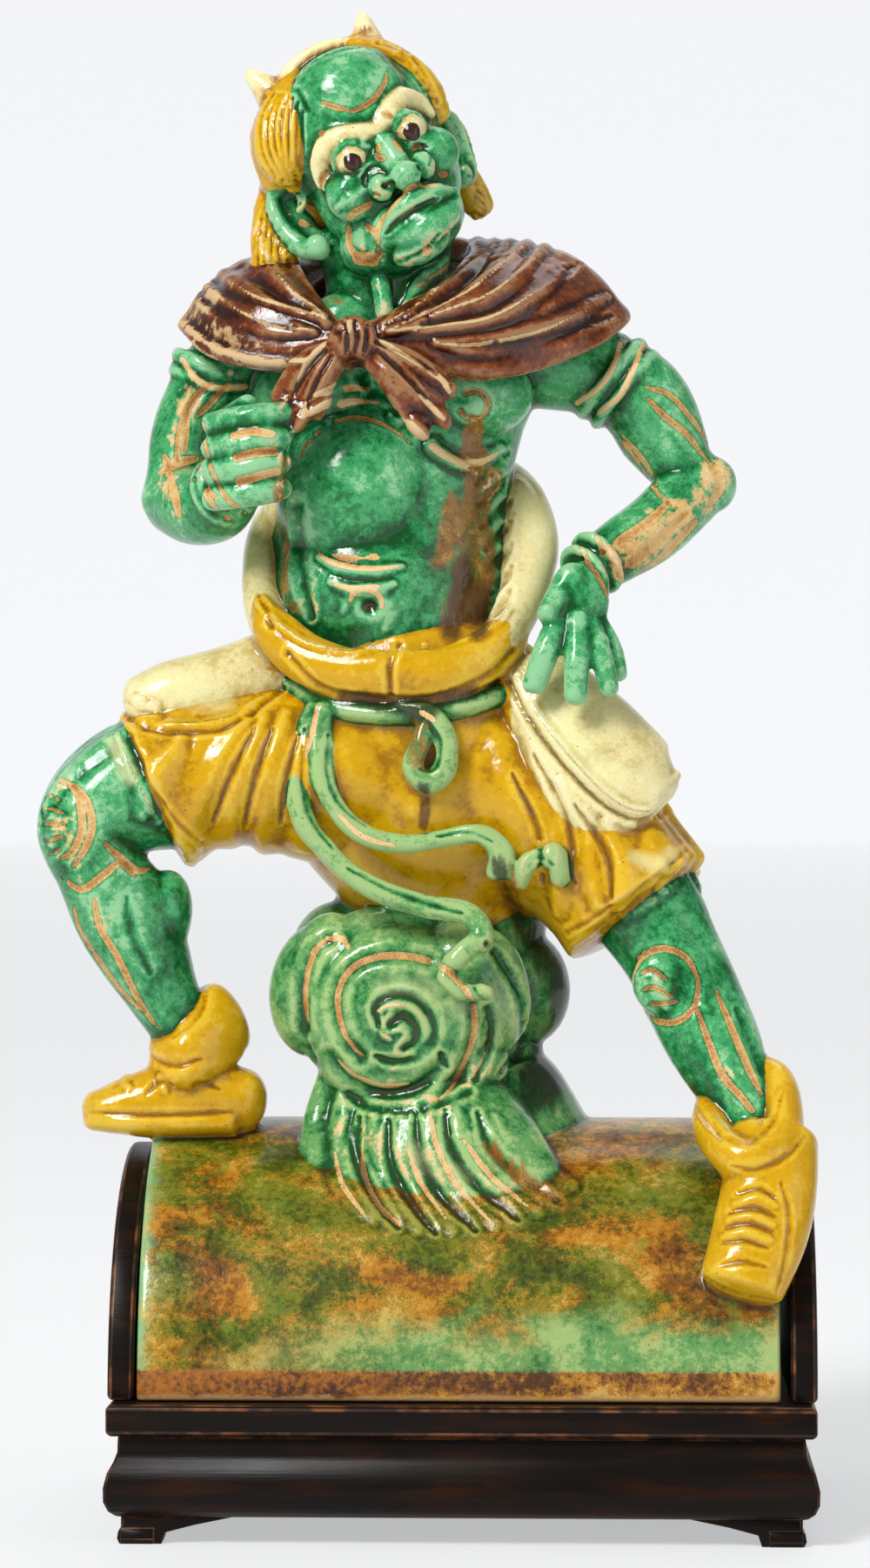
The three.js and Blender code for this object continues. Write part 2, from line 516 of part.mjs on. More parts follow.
// One mitred rail: the section carried along one side, its two ends cut at 45 degrees.
function rail(halfLength, halfDepth, turned) {
  const end = (side) => railProfile.map(([inset, z]) => {
    const along = side * (halfLength - inset - joint);
    const away = -(halfDepth - inset);
    return turned === "long" ? new THREE.Vector3(along, away, z) : new THREE.Vector3(-away, along, z);
  });
  const [first, last] = [end(-1), end(1)];
  const count = railProfile.length;
  const cap = THREE.ShapeUtils.triangulateShape(railProfile.map(([inset, z]) => new THREE.Vector2(inset, z)), []);
  const faces = [];
  for (let i = 0; i < count; i++) {
    const k = (i + 1) % count;
    faces.push(i, k, count + k, i, count + k, count + i);
  }
  cap.forEach(([a, b, c]) => faces.push(a, c, b, count + a, count + b, count + c));
  const geometry = new THREE.BufferGeometry().setFromPoints([...first, ...last]);
  geometry.setIndex(faces);
  return geometry;
}

// A corner foot: two brackets that taper into the rails, on a small square pad.
function foot(signX, signY) {
  const [padInset, neckInset, top] = [5, 8, railBottom - joint];
  const bracket = new THREE.Shape();
  bracket.moveTo(padInset + 1, 0);
  bracket.lineTo(padInset, 2);
  bracket.lineTo(padInset + 0.5, 5);
  bracket.quadraticCurveTo(neckInset, 6.5, neckInset - 0.5, top);
  bracket.lineTo(50, top);
  bracket.quadraticCurveTo(34, 7.5, 24, 4.5);
  bracket.lineTo(22.5, 0);
  bracket.closePath();
  const thickness = 13;
  const plank = () => new THREE.ExtrudeGeometry(bracket, { depth: thickness, bevelEnabled: false, curveSegments: 2 });
  const long = plank();
  long.rotateX(Math.PI / 2);
  long.translate(0, padInset + 1.5 + thickness, 0);
  const short = plank();
  short.rotateX(Math.PI / 2);
  short.rotateZ(Math.PI / 2);
  short.translate(padInset + 1.5, 0, 0);
  const corner = fuse([solid(long), solid(short)]);
  // The foot above is drawn for the corner at low X and low Y, counted inwards from the rail's edge.
  const turn = new THREE.Matrix4().makeScale(signX, signY, 1);
  turn.setPosition(-signX * (standLength / 2), -signY * (standDepth / 2), 0);
  return corner.transform(turn.elements);
}

function endBoard(side) {
  const shape = new THREE.Shape();
  shape.moveTo(endBoardHalfDepth, 0);
  shape.absellipse(0, 0, endBoardHalfDepth, endBoardHeight, 0, Math.PI, false, 0);
  shape.closePath();
  const rounding = 1.2;
  const geometry = new THREE.ExtrudeGeometry(shape, {
    depth: endBoardThickness - 2 * rounding, curveSegments: 14,
    bevelThickness: rounding, bevelSize: rounding, bevelOffset: -rounding, bevelSegments: 1,
  });
  geometry.rotateX(Math.PI / 2);
  geometry.rotateZ(Math.PI / 2);
  geometry.translate(rounding, 0, boardTop + joint);
  const inner = standLength / 2 - endBoardThickness - 0.3;
  geometry.translate(side > 0 ? inner : -inner - endBoardThickness, 0, 0);
  const bottom = new THREE.BoxGeometry(600, 600, 50);
  bottom.translate(0, 0, boardTop + joint - 25);
  return solid(geometry).subtract(solid(bottom));
}

// ---- the part ----
const group = new THREE.Group();
const ceramic = new THREE.MeshStandardMaterial({ color: glazeGreen, roughness: 0.25, metalness: 0 });
const wood = new THREE.MeshStandardMaterial({ color: darkWood, roughness: 0.4, metalness: 0 });

function add(name, geometry, material) {
  const mesh = new THREE.Mesh(geometry, material);
  mesh.name = name;
  group.add(mesh);
}

add("ridge_figure", geometryOf(ridgeFigure()), ceramic);
add("stand_top_board",
  plainMoulding(0, 0, boardTop - boardThickness, standLength - 2, standDepth - 2, boardThickness, 1.5), wood);
add("stand_rail_front", geometryOf(solid(rail(standLength / 2, standDepth / 2, "long"))), wood);
const backRail = rail(standLength / 2, standDepth / 2, "long").rotateZ(Math.PI);
add("stand_rail_back", geometryOf(solid(backRail)), wood);
add("stand_rail_right", geometryOf(solid(rail(standDepth / 2, standLength / 2, "short"))), wood);
const leftRail = rail(standDepth / 2, standLength / 2, "short").rotateZ(Math.PI);
add("stand_rail_left", geometryOf(solid(leftRail)), wood);
for (const [word, signX] of [["left", 1], ["right", -1]]) {
  for (const [place, signY] of [["front", 1], ["back", -1]]) {
    add(`stand_foot_${place}_${word}`, geometryOf(foot(signX, signY)), wood);
  }
  add(`stand_end_board_${word}`, geometryOf(endBoard(-signX)), wood);
}

// The origin goes under the middle of the whole object.
const box = new THREE.Box3().setFromObject(group);
const middle = box.getCenter(new THREE.Vector3());
group.children.forEach((mesh) => mesh.position.set(-middle.x, -middle.y, -box.min.z));

export default group;
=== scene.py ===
# A glazed stoneware roof ridge figure on its hardwood stand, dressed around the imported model.
# The figure is modelled as clay: rounded forms are pressed together into one skin, lines are
# cut and raised on it, and then the glazes are laid over it by where each form lies.
# Figure sizes are millimetres in the frame it is drawn in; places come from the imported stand.
import math

import bmesh
import bpy
import numpy as np
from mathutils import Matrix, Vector


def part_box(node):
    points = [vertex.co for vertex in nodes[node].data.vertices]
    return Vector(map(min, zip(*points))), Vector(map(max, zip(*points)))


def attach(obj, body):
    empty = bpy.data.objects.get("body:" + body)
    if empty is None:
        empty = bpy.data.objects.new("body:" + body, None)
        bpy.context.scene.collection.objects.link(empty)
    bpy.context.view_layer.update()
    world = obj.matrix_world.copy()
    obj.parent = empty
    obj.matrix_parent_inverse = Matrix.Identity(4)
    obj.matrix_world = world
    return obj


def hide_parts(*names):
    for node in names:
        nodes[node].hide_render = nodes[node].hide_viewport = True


scene = bpy.context.scene
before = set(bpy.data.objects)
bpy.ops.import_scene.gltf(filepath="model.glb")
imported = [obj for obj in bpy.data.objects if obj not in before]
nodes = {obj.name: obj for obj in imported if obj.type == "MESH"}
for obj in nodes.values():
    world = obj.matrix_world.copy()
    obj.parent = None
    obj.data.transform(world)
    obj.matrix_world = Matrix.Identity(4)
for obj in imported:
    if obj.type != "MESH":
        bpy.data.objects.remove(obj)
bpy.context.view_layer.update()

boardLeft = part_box("stand_end_board_left")
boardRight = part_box("stand_end_board_right")
standMiddle = (boardLeft[0].x + boardRight[1].x) / 2
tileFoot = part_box("ridge_figure")[0].z
mm = 0.001
drawnRight, drawnLow = 3 * mm, 1.8 * mm  # how far off the stand's middle and its level the figure is drawn
figureShift = np.array([standMiddle - drawnRight, 0, drawnLow])

clay = {
    "voxel": 1.05,  # size of the cells that press the forms into one skin
    "blend": 3,  # rounds of smoothing that melt the joins
    "soften": 0.35,  # how much one last round softens the carving
    "faces": 196000,
    "wobble": 0.22,  # hand-made unevenness
    "waves": (9, 15, 26),  # lengths of its waves
    "seed": 7,
}


def newObject(name, data):
    made = bpy.data.objects.new(name, data)
    scene.collection.objects.link(made)
    return made


def unit(v):
    return v / np.maximum(np.linalg.norm(v, axis=-1, keepdims=True), 1e-9)


# Points on a smooth curve through the given ones: each stretch is the cubic of its four neighbours.
def alongCurve(points, t, closed=False):
    p = np.asarray(points, float)
    t = np.asarray(t, float)
    n = len(p)
    if closed:
        s = (t % 1) * n
        i = np.floor(s).astype(int) % n
        a, b, c, d = (p[(i + k) % n] for k in (-1, 0, 1, 2))
    else:
        s = np.clip(t, 0, 1) * (n - 1)
        i = np.minimum(np.floor(s).astype(int), n - 2)
        q = np.vstack([2 * p[0] - p[1], p, 2 * p[-1] - p[-2]])
        a, b, c, d = (q[i + k] for k in range(4))
    f = (s - np.floor(s) if closed else s - i)[:, None]
    return 0.5 * (2 * b + (c - a) * f + (2 * a - 5 * b + 4 * c - d) * f**2 + (3 * b - a - 3 * c + d) * f**3)


# Quads of a grid of rows by sides; the sides close on themselves, the rows only if asked.
def gridFaces(rows, sides, closedRows=False):
    i, j = np.meshgrid(np.arange(rows if closedRows else rows - 1), np.arange(sides), indexing="ij")
    i, j = i.ravel(), j.ravel()
    k, n = (j + 1) % sides, (i + 1) % rows
    return np.stack([i * sides + j, i * sides + k, n * sides + k, n * sides + j], 1)


# A limb: an oval of [across, through] carried along a smooth curve, its ends rounded like a thumb.
# A point is centre + side*across*cos + out*through*sin, bent back at its edges by curl*cos^2.
def limb(path, radii, facing=(0, -1, 0), curl=0.0, closed=False, dome=0.8, steps=56, sides=32, square=1.0):
    sizes = radii if len(radii) > 1 else [radii[0], radii[0]]
    capRows, ahead, thinnest = 7, 0.002, 0.2
    if closed:
        t = np.arange(steps) / steps
        scale, push = np.ones(steps), np.zeros(steps)
    else:
        turn = np.linspace(0, math.pi / 2, capRows + 1)[:-1]
        t = np.concatenate([np.zeros(capRows), np.linspace(0, 1, steps), np.ones(capRows)])
        scale = np.concatenate([np.sin(turn), np.ones(steps), np.sin(turn)[::-1]])
        push = np.concatenate([-np.cos(turn), np.zeros(steps), np.cos(turn)[::-1]])
    line = alongCurve(path, t, closed)
    size = np.maximum(alongCurve(sizes, t, closed), thinnest)
    way = unit(alongCurve(path, t + ahead, closed) - alongCurve(path, t - ahead, closed))
    side = unit(np.cross(np.array(facing, float), way))
    out = unit(np.cross(way, side))
    angle = np.linspace(0, 2 * math.pi, sides, endpoint=False)
    c = np.sign(np.cos(angle)) * np.abs(np.cos(angle)) ** square
    s = np.sign(np.sin(angle)) * np.abs(np.sin(angle)) ** square
    line = line + way * (push * size.min(1) * dome)[:, None]
    across = (size[:, 0] * scale)[:, None]
    through = (size[:, 1] * scale)[:, None]
    points = (line[:, None] + side[:, None] * (across * c)[..., None]
              + out[:, None] * (through * s - curl * across * c**2)[..., None])
    return points.reshape(-1, 3), gridFaces(len(t), sides, closed)


# Turns about X, then Y, then Z.
def turned(degrees):
    x, y, z = np.radians(degrees)
    rx = np.array([[1, 0, 0], [0, np.cos(x), -np.sin(x)], [0, np.sin(x), np.cos(x)]])
    ry = np.array([[np.cos(y), 0, np.sin(y)], [0, 1, 0], [-np.sin(y), 0, np.cos(y)]])
    rz = np.array([[np.cos(z), -np.sin(z), 0], [np.sin(z), np.cos(z), 0], [0, 0, 1]])
    return rx @ ry @ rz


# An egg: a sphere with three radii, (cos u sin v, sin u sin v, cos v) scaled and turned.
def egg(centre, radii, turn=(0, 0, 0), sides=32, rows=18):
    u = np.linspace(0, 2 * math.pi, sides, endpoint=False)[None]
    v = np.linspace(0, math.pi, rows)[:, None]
    ball = np.stack([np.cos(u) * np.sin(v), np.sin(u) * np.sin(v), np.cos(v) + 0 * u], -1).reshape(-1, 3)
    return ball * np.array(radii, float) @ turned(turn).T + np.array(centre, float), gridFaces(rows, sides)


# A band round a limb: radius + thickness*cos(v) out from an axis in the direction u, high*sin(v) along it.
def band(centre, axis, radius, thickness, high=None):
    rows, sides = 56, 14
    axis = unit(np.array(axis, float))
    one = unit(np.cross(axis, [0.3, 1, 0.2]))
    two = np.cross(axis, one)
    u = np.linspace(0, 2 * math.pi, rows, endpoint=False)[:, None]
    v = np.linspace(0, 2 * math.pi, sides, endpoint=False)[None]
    outward = np.cos(u)[..., None] * one + np.sin(u)[..., None] * two
    away = (radius + thickness * np.cos(v))[..., None] * outward
    points = np.array(centre, float) + away + ((high or thickness) * np.sin(v) + 0 * u)[..., None] * axis
    return points.reshape(-1, 3), gridFaces(rows, sides, True)


print("shapes: tools ready")

tileShape = {"radius": 104.6, "wall": 15, "length": 253, "edge": 2.2, "middle": 1.5}


# The ridge tile: a rounded rectangle, length by wall, carried round half a circle about the ridge.
def ridgeTile():
    half, wall, edge = tileShape["length"] / 2, tileShape["wall"], tileShape["edge"]
    cornerPoints, sidePoints, arch = 5, 30, 150
    corner = np.linspace(0, math.pi / 2, cornerPoints)
    spans = [(half - edge, edge, -math.pi / 2), (half - edge, wall - edge, 0),
             (-half + edge, wall - edge, math.pi / 2), (-half + edge, edge, math.pi)]
    loop = np.concatenate([np.stack([x + edge * np.cos(corner + a), r + edge * np.sin(corner + a)], 1)
                           for x, r, a in spans])
    last = cornerPoints - 1  # the straight sides start after a corner's last point
    stretches = [(loop[i], loop[(i + 1) % len(loop)], sidePoints if i % cornerPoints == last else 1)
                 for i in range(len(loop))]
    loop = np.concatenate([np.linspace(*stretch, endpoint=False) for stretch in stretches])
    turn = np.linspace(0, math.pi, arch)[:, None]
    r = tileShape["radius"] - wall + loop[None, :, 1]
    x = tileShape["middle"] + loop[None, :, 0] + 0 * turn
    points = np.stack([x, -r * np.cos(turn), r * np.sin(turn)], -1)
    floor = (tileFoot - figureShift[2]) / mm
    rows, sides = points.shape[:2]
    ends = np.stack([np.arange(sides)[::-1], (rows - 1) * sides + np.arange(sides)])
    return points.reshape(-1, 3) + [0, 0, floor], [gridFaces(rows, sides), ends]


# The cloud: a stem, a disc with rolls behind it, and streams that spread as they sink into the tile.
def cloudForms():
    forms = [
        limb([[-6, 2, 136], [-7, 2, 158], [-11, 2, 170], [-14, 2, 182], [-14, 3, 208], [-8, 2, 246]],
             [[76, 56], [55, 44], [43, 37], [38, 33], [46, 34], [44, 34]]),
        limb([[-15, -4, 184], [-14, -18, 160], [-10, -38, 142], [0, -56, 122]],
             [[36, 30], [40, 30], [45, 29], [46, 17]]),
        egg((-24, -38, 203), (39, 17, 36)),  # the disc that the spiral is cut in
        egg((-25, -31, 207), (46, 15, 40), (0, 8, 0)),  # the roll behind it
        egg((-58, -26, 212), (20, 15, 28), (0, 8, 0)),
        egg((-50, -30, 216), (19, 16, 28), (0, -6, 0)),
        egg((-43, -33, 184), (15, 13, 15)),
        egg((10, -32, 212), (19, 15, 27), (0, -10, 0)),
        egg((2, -35, 216), (20, 16, 26), (0, -14, 0)),
        egg((4, -30, 183), (16, 14, 16)),
        egg((24, 2, 212), (21, 24, 25), (0, -8, 0)),
        egg((18, 4, 184), (16, 20, 15)),
        egg((-52, 0, 226), (19, 22, 22), (0, 15, 0)),
        egg((-12, 30, 206), (42, 16, 34)),
    ]
    ribs = [
        [[-52, -33, 178], [-57, -38, 160], [-55, -54, 146], [-45, -74, 128]],
        [[-44, -37, 174], [-46, -46, 156], [-42, -62, 140], [-32, -77, 126]],
        [[-34, -40, 170], [-34, -50, 154], [-29, -66, 137], [-19, -81, 120]],
        [[-25, -42, 168], [-23, -54, 152], [-17, -68, 136], [-8, -79, 122]],
        [[-15, -42, 168], [-12, -54, 152], [-6, -68, 137], [6, -78, 124]],
        [[-5, -40, 168], [-1, -52, 152], [6, -68, 136], [20, -80, 120]],
        [[6, -36, 170], [10, -48, 154], [18, -62, 141], [30, -74, 130]],
        [[16, -28, 174], [19, -38, 160], [26, -52, 148], [42, -61, 140]],
    ]
    down = np.linspace(0, 1, 4)[:, None]
    for path in ribs:
        sunk = down * [0, 2.5, -5] + [0, 2.2, -1]
        widths = [[6, 4.5], [7, 5], [8.5, 4.8], [9.5, 3.6]]
        forms.append(limb(np.array(path) + sunk, widths, (0, -1, 0.6), steps=50, sides=20))
    back = [
        [[-34, 40, 176], [-40, 44, 158], [-46, 54, 146], [-58, 66, 136]],
        [[-12, 44, 174], [-14, 50, 156], [-16, 62, 142], [-18, 76, 126]],
        [[12, 38, 176], [16, 44, 158], [24, 56, 146], [34, 68, 134]],
    ]
    for path in back:
        sunk = down * [0, -3, -4] + [0, -2, -1]
        widths = [[11, 5], [13, 5], [14, 4.5]]
        forms.append(limb(np.array(path) + sunk, widths, (0, 1, 0.6), steps=40, sides=24))
    return forms


# The raised leg on the left and the straighter one on the right: thigh to ankle, with knee and calf.
def legForms():
    return [
        limb([[-100, -26, 300], [-132, -33, 294], [-150, -37, 280], [-146, -35, 262], [-137, -32, 244],
              [-129, -30, 227], [-121, -28, 210], [-111, -26, 190]],
             [[29, 26], [27, 25], [22, 23], [19, 20], [21, 21], [19, 20], [15, 16], [11, 12]], steps=80),
        egg((-153, -42, 283), (17, 14, 20), (0, 20, 0)),
        egg((-124, -32, 238), (14, 14, 24), (0, 18, 0)),
        limb([[58, -24, 266], [74, -30, 248], [86, -36, 228], [95, -41, 209], [106, -52, 186],
              [117, -66, 162]],
             [[27, 24], [24, 23], [20.5, 20], [20, 20], [18, 17], [11, 12]], steps=80),
        egg((83, -52, 216), (13, 8, 14), (0, -20, 0)),
        egg((108, -50, 196), (12, 13, 18), (0, -30, 0)),
    ]


# Each boot is a foot, a sole or toe, an ankle, and cuffs that lie in rolls round it.
def bootForms():
    return [
        limb([[-89, -25, 167], [-106, -26, 168], [-131, -28, 165], [-148, -30, 163]],
             [[13, 15], [17, 17], [13.5, 16], [8, 12]], square=0.9),
        limb([[-94, -25, 158.5], [-112, -26, 158.5], [-134, -28, 158.5], [-150, -30, 159.5]],
             [[17, 6], [19, 6], [17, 6], [11, 5]], facing=(0, 0, 1), square=0.8),
        limb([[-106, -26, 168], [-108, -26, 192]], [[16, 16], [15, 15]]),
        limb([[-121, -26, 188], [-110, -41, 187], [-96, -25, 200], [-107, -9, 201]],
             [[6, 7], [7, 10], [7.5, 15], [7, 10]], closed=True, facing=(0.55, 0, -1), steps=70),
        limb([[-122, -27, 181], [-110, -43, 179], [-94, -27, 189], [-107, -9, 190]],
             [[5, 6], [6, 6], [6, 7], [6, 6]], closed=True, facing=(0.55, 0, -1), steps=70),
        limb([[126, -74, 154], [124, -86, 136], [120, -95, 119], [113, -103, 100]],
             [[18, 15], [19, 15], [19, 13], [17, 12]], (0, -0.8, 0.6), dome=0.4, square=0.88),
        limb([[101, -68, 161], [106, -84, 152], [116, -91, 147], [127, -87, 151], [131, -74, 163],
              [128, -60, 177], [117, -50, 178], [105, -54, 170]],
             [[7, 8], [8, 9], [7, 9], [7, 8]], closed=True, facing=(0.35, 0.25, -1), steps=90),
        limb([[104, -74, 152], [110, -88, 144], [119, -93, 141], [130, -88, 145], [134, -76, 156],
              [130, -63, 168], [118, -54, 168], [107, -58, 160]],
             [[5, 5], [6, 5], [5, 5], [5, 5]], closed=True, facing=(0.35, 0.25, -1), steps=90),
    ]


# A bare chest over a round belly.
def torsoForms():
    return [
        limb([[-37, -3, 526], [-30, 0, 502], [-28, 4, 480], [-28, 5, 462], [-27, 4, 440], [-28, 2, 415],
              [-30, 0, 392], [-31, 0, 366], [-30, 0, 345]],
             [[25, 25], [28, 26], [52, 30], [64, 34], [52, 37], [47, 38], [49, 40], [51, 42], [46, 40]],
             dome=0.4, steps=90, sides=60),
        egg((-42, -16, 416), (34, 31, 40), (0, 4, 0), 48, 26),
        egg((-36, -12, 376), (42, 34, 34), sides=48, rows=26),
        egg((-58, -18, 456), (27, 20, 17)),
        egg((3, -14, 456), (27, 20, 19)),
        egg((6.5, -31.5, 450), (4.8, 3.5, 4.8)),
        egg((-48, -14, 486), (16, 14, 12)),  # the soft muscles at the hollow of the throat
        egg((-18, -14, 488), (16, 14, 12)),
    ]


# The cords of the neck.
def neckForms():
    return [
        limb([[-34, -22, 512], [-32, -28, 498], [-30, -34, 486]],
             [[4, 4], [4, 4], [4, 4]], steps=24, sides=16),
        limb([[-8, -6, 520], [-12, -20, 504], [-20, -32, 490]],
             [[5, 5], [6, 5], [4, 4]], steps=24, sides=16),
    ]


# where the robe's rolled top runs round the waist, and up the back
waist = [[-27, -49, 337], [-54, -43, 342], [-75, -32, 356], [-82, -14, 382], [-77, 14, 406], [-52, 38, 422],
         [-16, 42, 428], [12, 32, 426], [26, 6, 410], [29, -14, 388], [20, -34, 360], [0, -46, 341]]


# The robe let down from the shoulders: a roll round the waist and a bunch of cloth within it.
def robeForms():
    thick = [[10, 8], [10, 8], [9, 8], [8, 8], [9, 9], [10, 9], [12, 9], [12, 9], [11, 10], [11, 10], [10, 9],
             [10, 8]]
    roll = limb(waist, thick, closed=True, steps=140, facing=(0, -0.35, -1))
    bunched = limb([[-30, 8, 424], [-30, 12, 390], [-28, 8, 350]],
                   [[50, 36], [56, 38], [54, 44]], dome=0.3, steps=60, sides=60)
    return [roll, bunched]


# The rolled front of the robe, in two lengths that meet at the middle.
def frontRollForms():
    return [
        limb([[-81, -30, 371], [-75, -37, 359], [-62, -44, 347], [-45, -49, 341], [-30, -51.5, 341]],
             [[3, 4], [9, 7], [10.5, 8], [10.5, 8], [9.5, 8]], (0, -1, -0.15), dome=0.5),
        limb([[-25, -53, 340], [-8, -51, 340], [8, -45, 346], [19, -37, 355], [24, -32, 365]],
             [[10.5, 7], [11, 8], [10.5, 8], [9.5, 7], [4, 5]], (0, -1, -0.15), dome=0.5),
    ]


# Loose shorts: the seat and two wide legs.
def shortsForms():
    return [
        limb([[-24, 0, 346], [-20, -2, 322], [-14, -3, 296], [-10, -3, 270], [-8, -2, 246]],
             [[50, 44], [56, 48], [60, 49], [54, 46], [38, 36]], dome=0.5, sides=60),
        limb([[-16, -6, 296], [-52, -14, 300], [-88, -21, 303], [-108, -24, 300], [-124, -26, 293]],
             [[42, 42], [38, 40], [33, 36], [32, 34], [34, 36]], dome=0.12, sides=60),
        limb([[-6, -6, 300], [24, -12, 290], [50, -20, 272], [63, -26, 258], [72, -29, 246]],
             [[44, 42], [41, 41], [37, 38], [34, 37], [34, 37]], dome=0.12, sides=60),
    ]


# Flaps of cloth that hang over the hips, in front and behind.
def flapForms():
    return [
        limb([[-70, -22, 352], [-96, -28, 339], [-118, -31, 333], [-130, -32, 330]],
             [[15, 8], [18, 11], [18, 11], [14, 9]], (-0.1, -0.85, 0.6), curl=0.3),
        limb([[30, -34, 344], [50, -45, 319], [66, -51, 299], [76, -51, 289]],
             [[18, 6], [26, 7], [28, 8], [21, 7]], (0.4, -1, 0.2), curl=0.25),
        limb([[-70, 18, 346], [-90, 12, 334], [-110, 4, 322]],
             [[22, 6], [26, 7], [18, 6]], (-0.3, 1, 0.5), curl=0.3),
        limb([[18, 24, 340], [42, 16, 316], [62, 6, 290]],
             [[22, 6], [27, 7], [20, 6]], (0.5, 1, 0.2), curl=0.3),
    ]


# A thin sash round the hips, its two ends hanging in curls and a loop between them.
def sashForms():
    return [
        limb([[-22, -51, 324], [-50, -45, 327], [-72, -24, 340], [-78, 4, 350], [-60, 34, 352],
              [-22, 47, 350], [14, 38, 348], [32, 6, 344], [26, -26, 338], [6, -46, 328]],
             [[5, 4]] * 4, closed=True, facing=(0, 0, 1), steps=120),
        limb([[-58, -46, 326], [-66, -50, 306], [-63, -54, 284], [-50, -55, 266], [-34, -55, 254],
              [-14, -55, 247], [4, -56, 244], [10, -58, 235], [2, -62, 228], [-4, -62, 220], [2, -62, 213],
              [12, -58, 212]],
             [[4.5, 4], [4.5, 4], [5, 4], [4.5, 4], [3.5, 3.5]], steps=120, sides=20),
        limb([[-55, -48, 326], [-55, -54, 304], [-50, -57, 288], [-38, -58, 276], [-22, -58, 272],
              [-6, -57, 274], [9, -57, 276], [17, -57, 269], [17, -56, 260]],
             [[4.5, 4], [4.5, 4], [4, 4], [6, 4]], steps=100, sides=20),
        limb([[25, -56, 257], [30, -60, 265], [39, -60, 267], [43, -58, 259]], [[3.5, 4], [5, 4]]),
        limb([[-22, -52, 328], [-9, -56, 322], [-4, -57, 312], [-6, -57, 301], [-13, -57, 297],
              [-18, -57, 303], [-15, -57, 312], [-13, -55, 320]],
             [[4, 4], [5, 4.5], [4, 4]], steps=70, sides=20),
    ]


# One arm folded to a fist at the chest, one bent with its hand on the hip, and the rings they wear.
def armForms():
    forms = [
        limb([[-86, 6, 479], [-102, 5, 464], [-111, 4, 450], [-115, 2, 438], [-116.5, 0, 425],
              [-117, -2, 414]],
             [[20, 20], [17, 18], [15, 17], [14.5, 16], [14, 15], [16, 16]]),
        limb([[-117, -3, 413], [-108, -18, 410], [-99, -32, 410], [-91, -44, 416]],
             [[15, 15], [16, 16], [15, 15], [12.5, 13]], (0.5, 0.5, 1)),
        egg((-119, -3, 411), (12, 13, 12)),
        egg((-85, -53, 429), (15, 13, 20)),
        limb([[-93, -50, 443], [-84, -55, 448]], [[5.5, 5.5]]),
        band((-103, 5, 467), (-0.5, 0, -1), 17, 2.6, 3.2),
        band((-105.5, 5, 461), (-0.5, 0, -1), 16.2, 2.2, 2.6),
        band((-95.5, -39, 414.5), (0.6, -0.8, 0.4), 13.2, 2.6),
        band((-93, -43, 417), (0.6, -0.8, 0.4), 12.4, 2.4),
        limb([[34, 6, 474], [58, 6, 466], [74, 7, 456], [83, 8, 441], [91, 7, 428], [98, 6, 421]],
             [[23, 22], [18.5, 19], [19, 19], [18, 18], [14, 15], [12, 13]]),
        egg((103, 6, 420), (11, 12, 12)),
        limb([[97, 5, 419], [80, -8, 402], [66, -20, 392], [53, -32, 383]],
             [[14, 14], [14, 14], [13, 13], [11, 10]]),
        band((62, 6, 464), (0.77, 0, -0.64), 19, 2.4, 3),
        band((67.5, 6, 459.5), (0.77, 0, -0.64), 19, 2, 2.4),
        band((56, -31, 386), (1, 0.8, 0.7), 12, 2.4),
        band((51, -36, 381), (1, 0.8, 0.7), 11.4, 2.2),
    ]
    curled = np.array([[-99, -54, -2], [-90, -62, -1], [-78, -64, 0.5], [-70, -59, 2]])
    thick = [[5, 5], [5.6, 5], [5.6, 5], [4.6, 4.6]]
    fist = ((443, 0), (433.2, 2.5), (423.2, 2.5),
            (412.8, 0))  # each finger's height, and how far it stands out
    for height, proud in fist:
        forms.append(limb(curled + [0, -proud, height], thick, steps=30, sides=20))
    return forms


# The hand on the hip: a palm, a thumb, four fingers with their nails, and knuckles.
def openHandForms():
    forms = [
        egg((48, -44, 369), (13, 9, 17), (0, 12, 0)),
        egg((45, -47, 377), (7, 6, 9), (0, 25, 0)),
    ]
    fingers = [
        ([[46, -44, 381], [40, -50, 371], [36, -54, 364]], 5.2, 4.6),
        ([[43, -48, 364], [36, -56, 350], [31, -56, 336]], 5.6, 5.2),
        ([[48, -51, 362], [48, -59, 346], [47.5, -60, 331]], 5.2, 5.0),
        ([[53, -49, 360], [58, -57, 347], [61, -57, 334]], 4.6, 4.2),
        ([[56, -44, 362], [62, -48, 351], [65, -48, 340]], 4.2, 3.8),
    ]
    for path, wide, tip in fingers:  # width at the root and at the tip
        forms.append(limb(path, [[wide, wide], [wide, wide * 0.95], [tip, tip]], steps=40, sides=20))
        forms.append(egg(np.array(path[-1]) + (0, -tip * 0.75, 1.5), (2.6, 1.7, 3), (12, 0, 0), 16, 10))
    for x, y, z in ((38, -53, 356), (48, -56, 354), (56, -54, 353)):
        forms.append(egg((x, y, z), (5.4, 4.4, 4.6), sides=20, rows=12))
    return forms


# the cape: a domed collar between its hem and its neck
capeHem = [[-42, -46, 465], [-70, -44, 463], [-98, -32, 469], [-114, 0, 484], [-101, 36, 480], [-64, 48, 474],
           [-28, 52, 472], [12, 48, 476], [46, 36, 482], [67, 4, 488], [52, -28, 473], [14, -44, 460]]
capeNeck = [[-42, -47, 480], [-52, -38, 488], [-62, -26, 502], [-66, 2, 512], [-59, 20, 518], [-48, 28, 521],
            [-36, 30, 524], [-22, 28, 524], [-8, 20, 521], [2, 4, 516], [-6, -24, 502], [-24, -40, 488]]


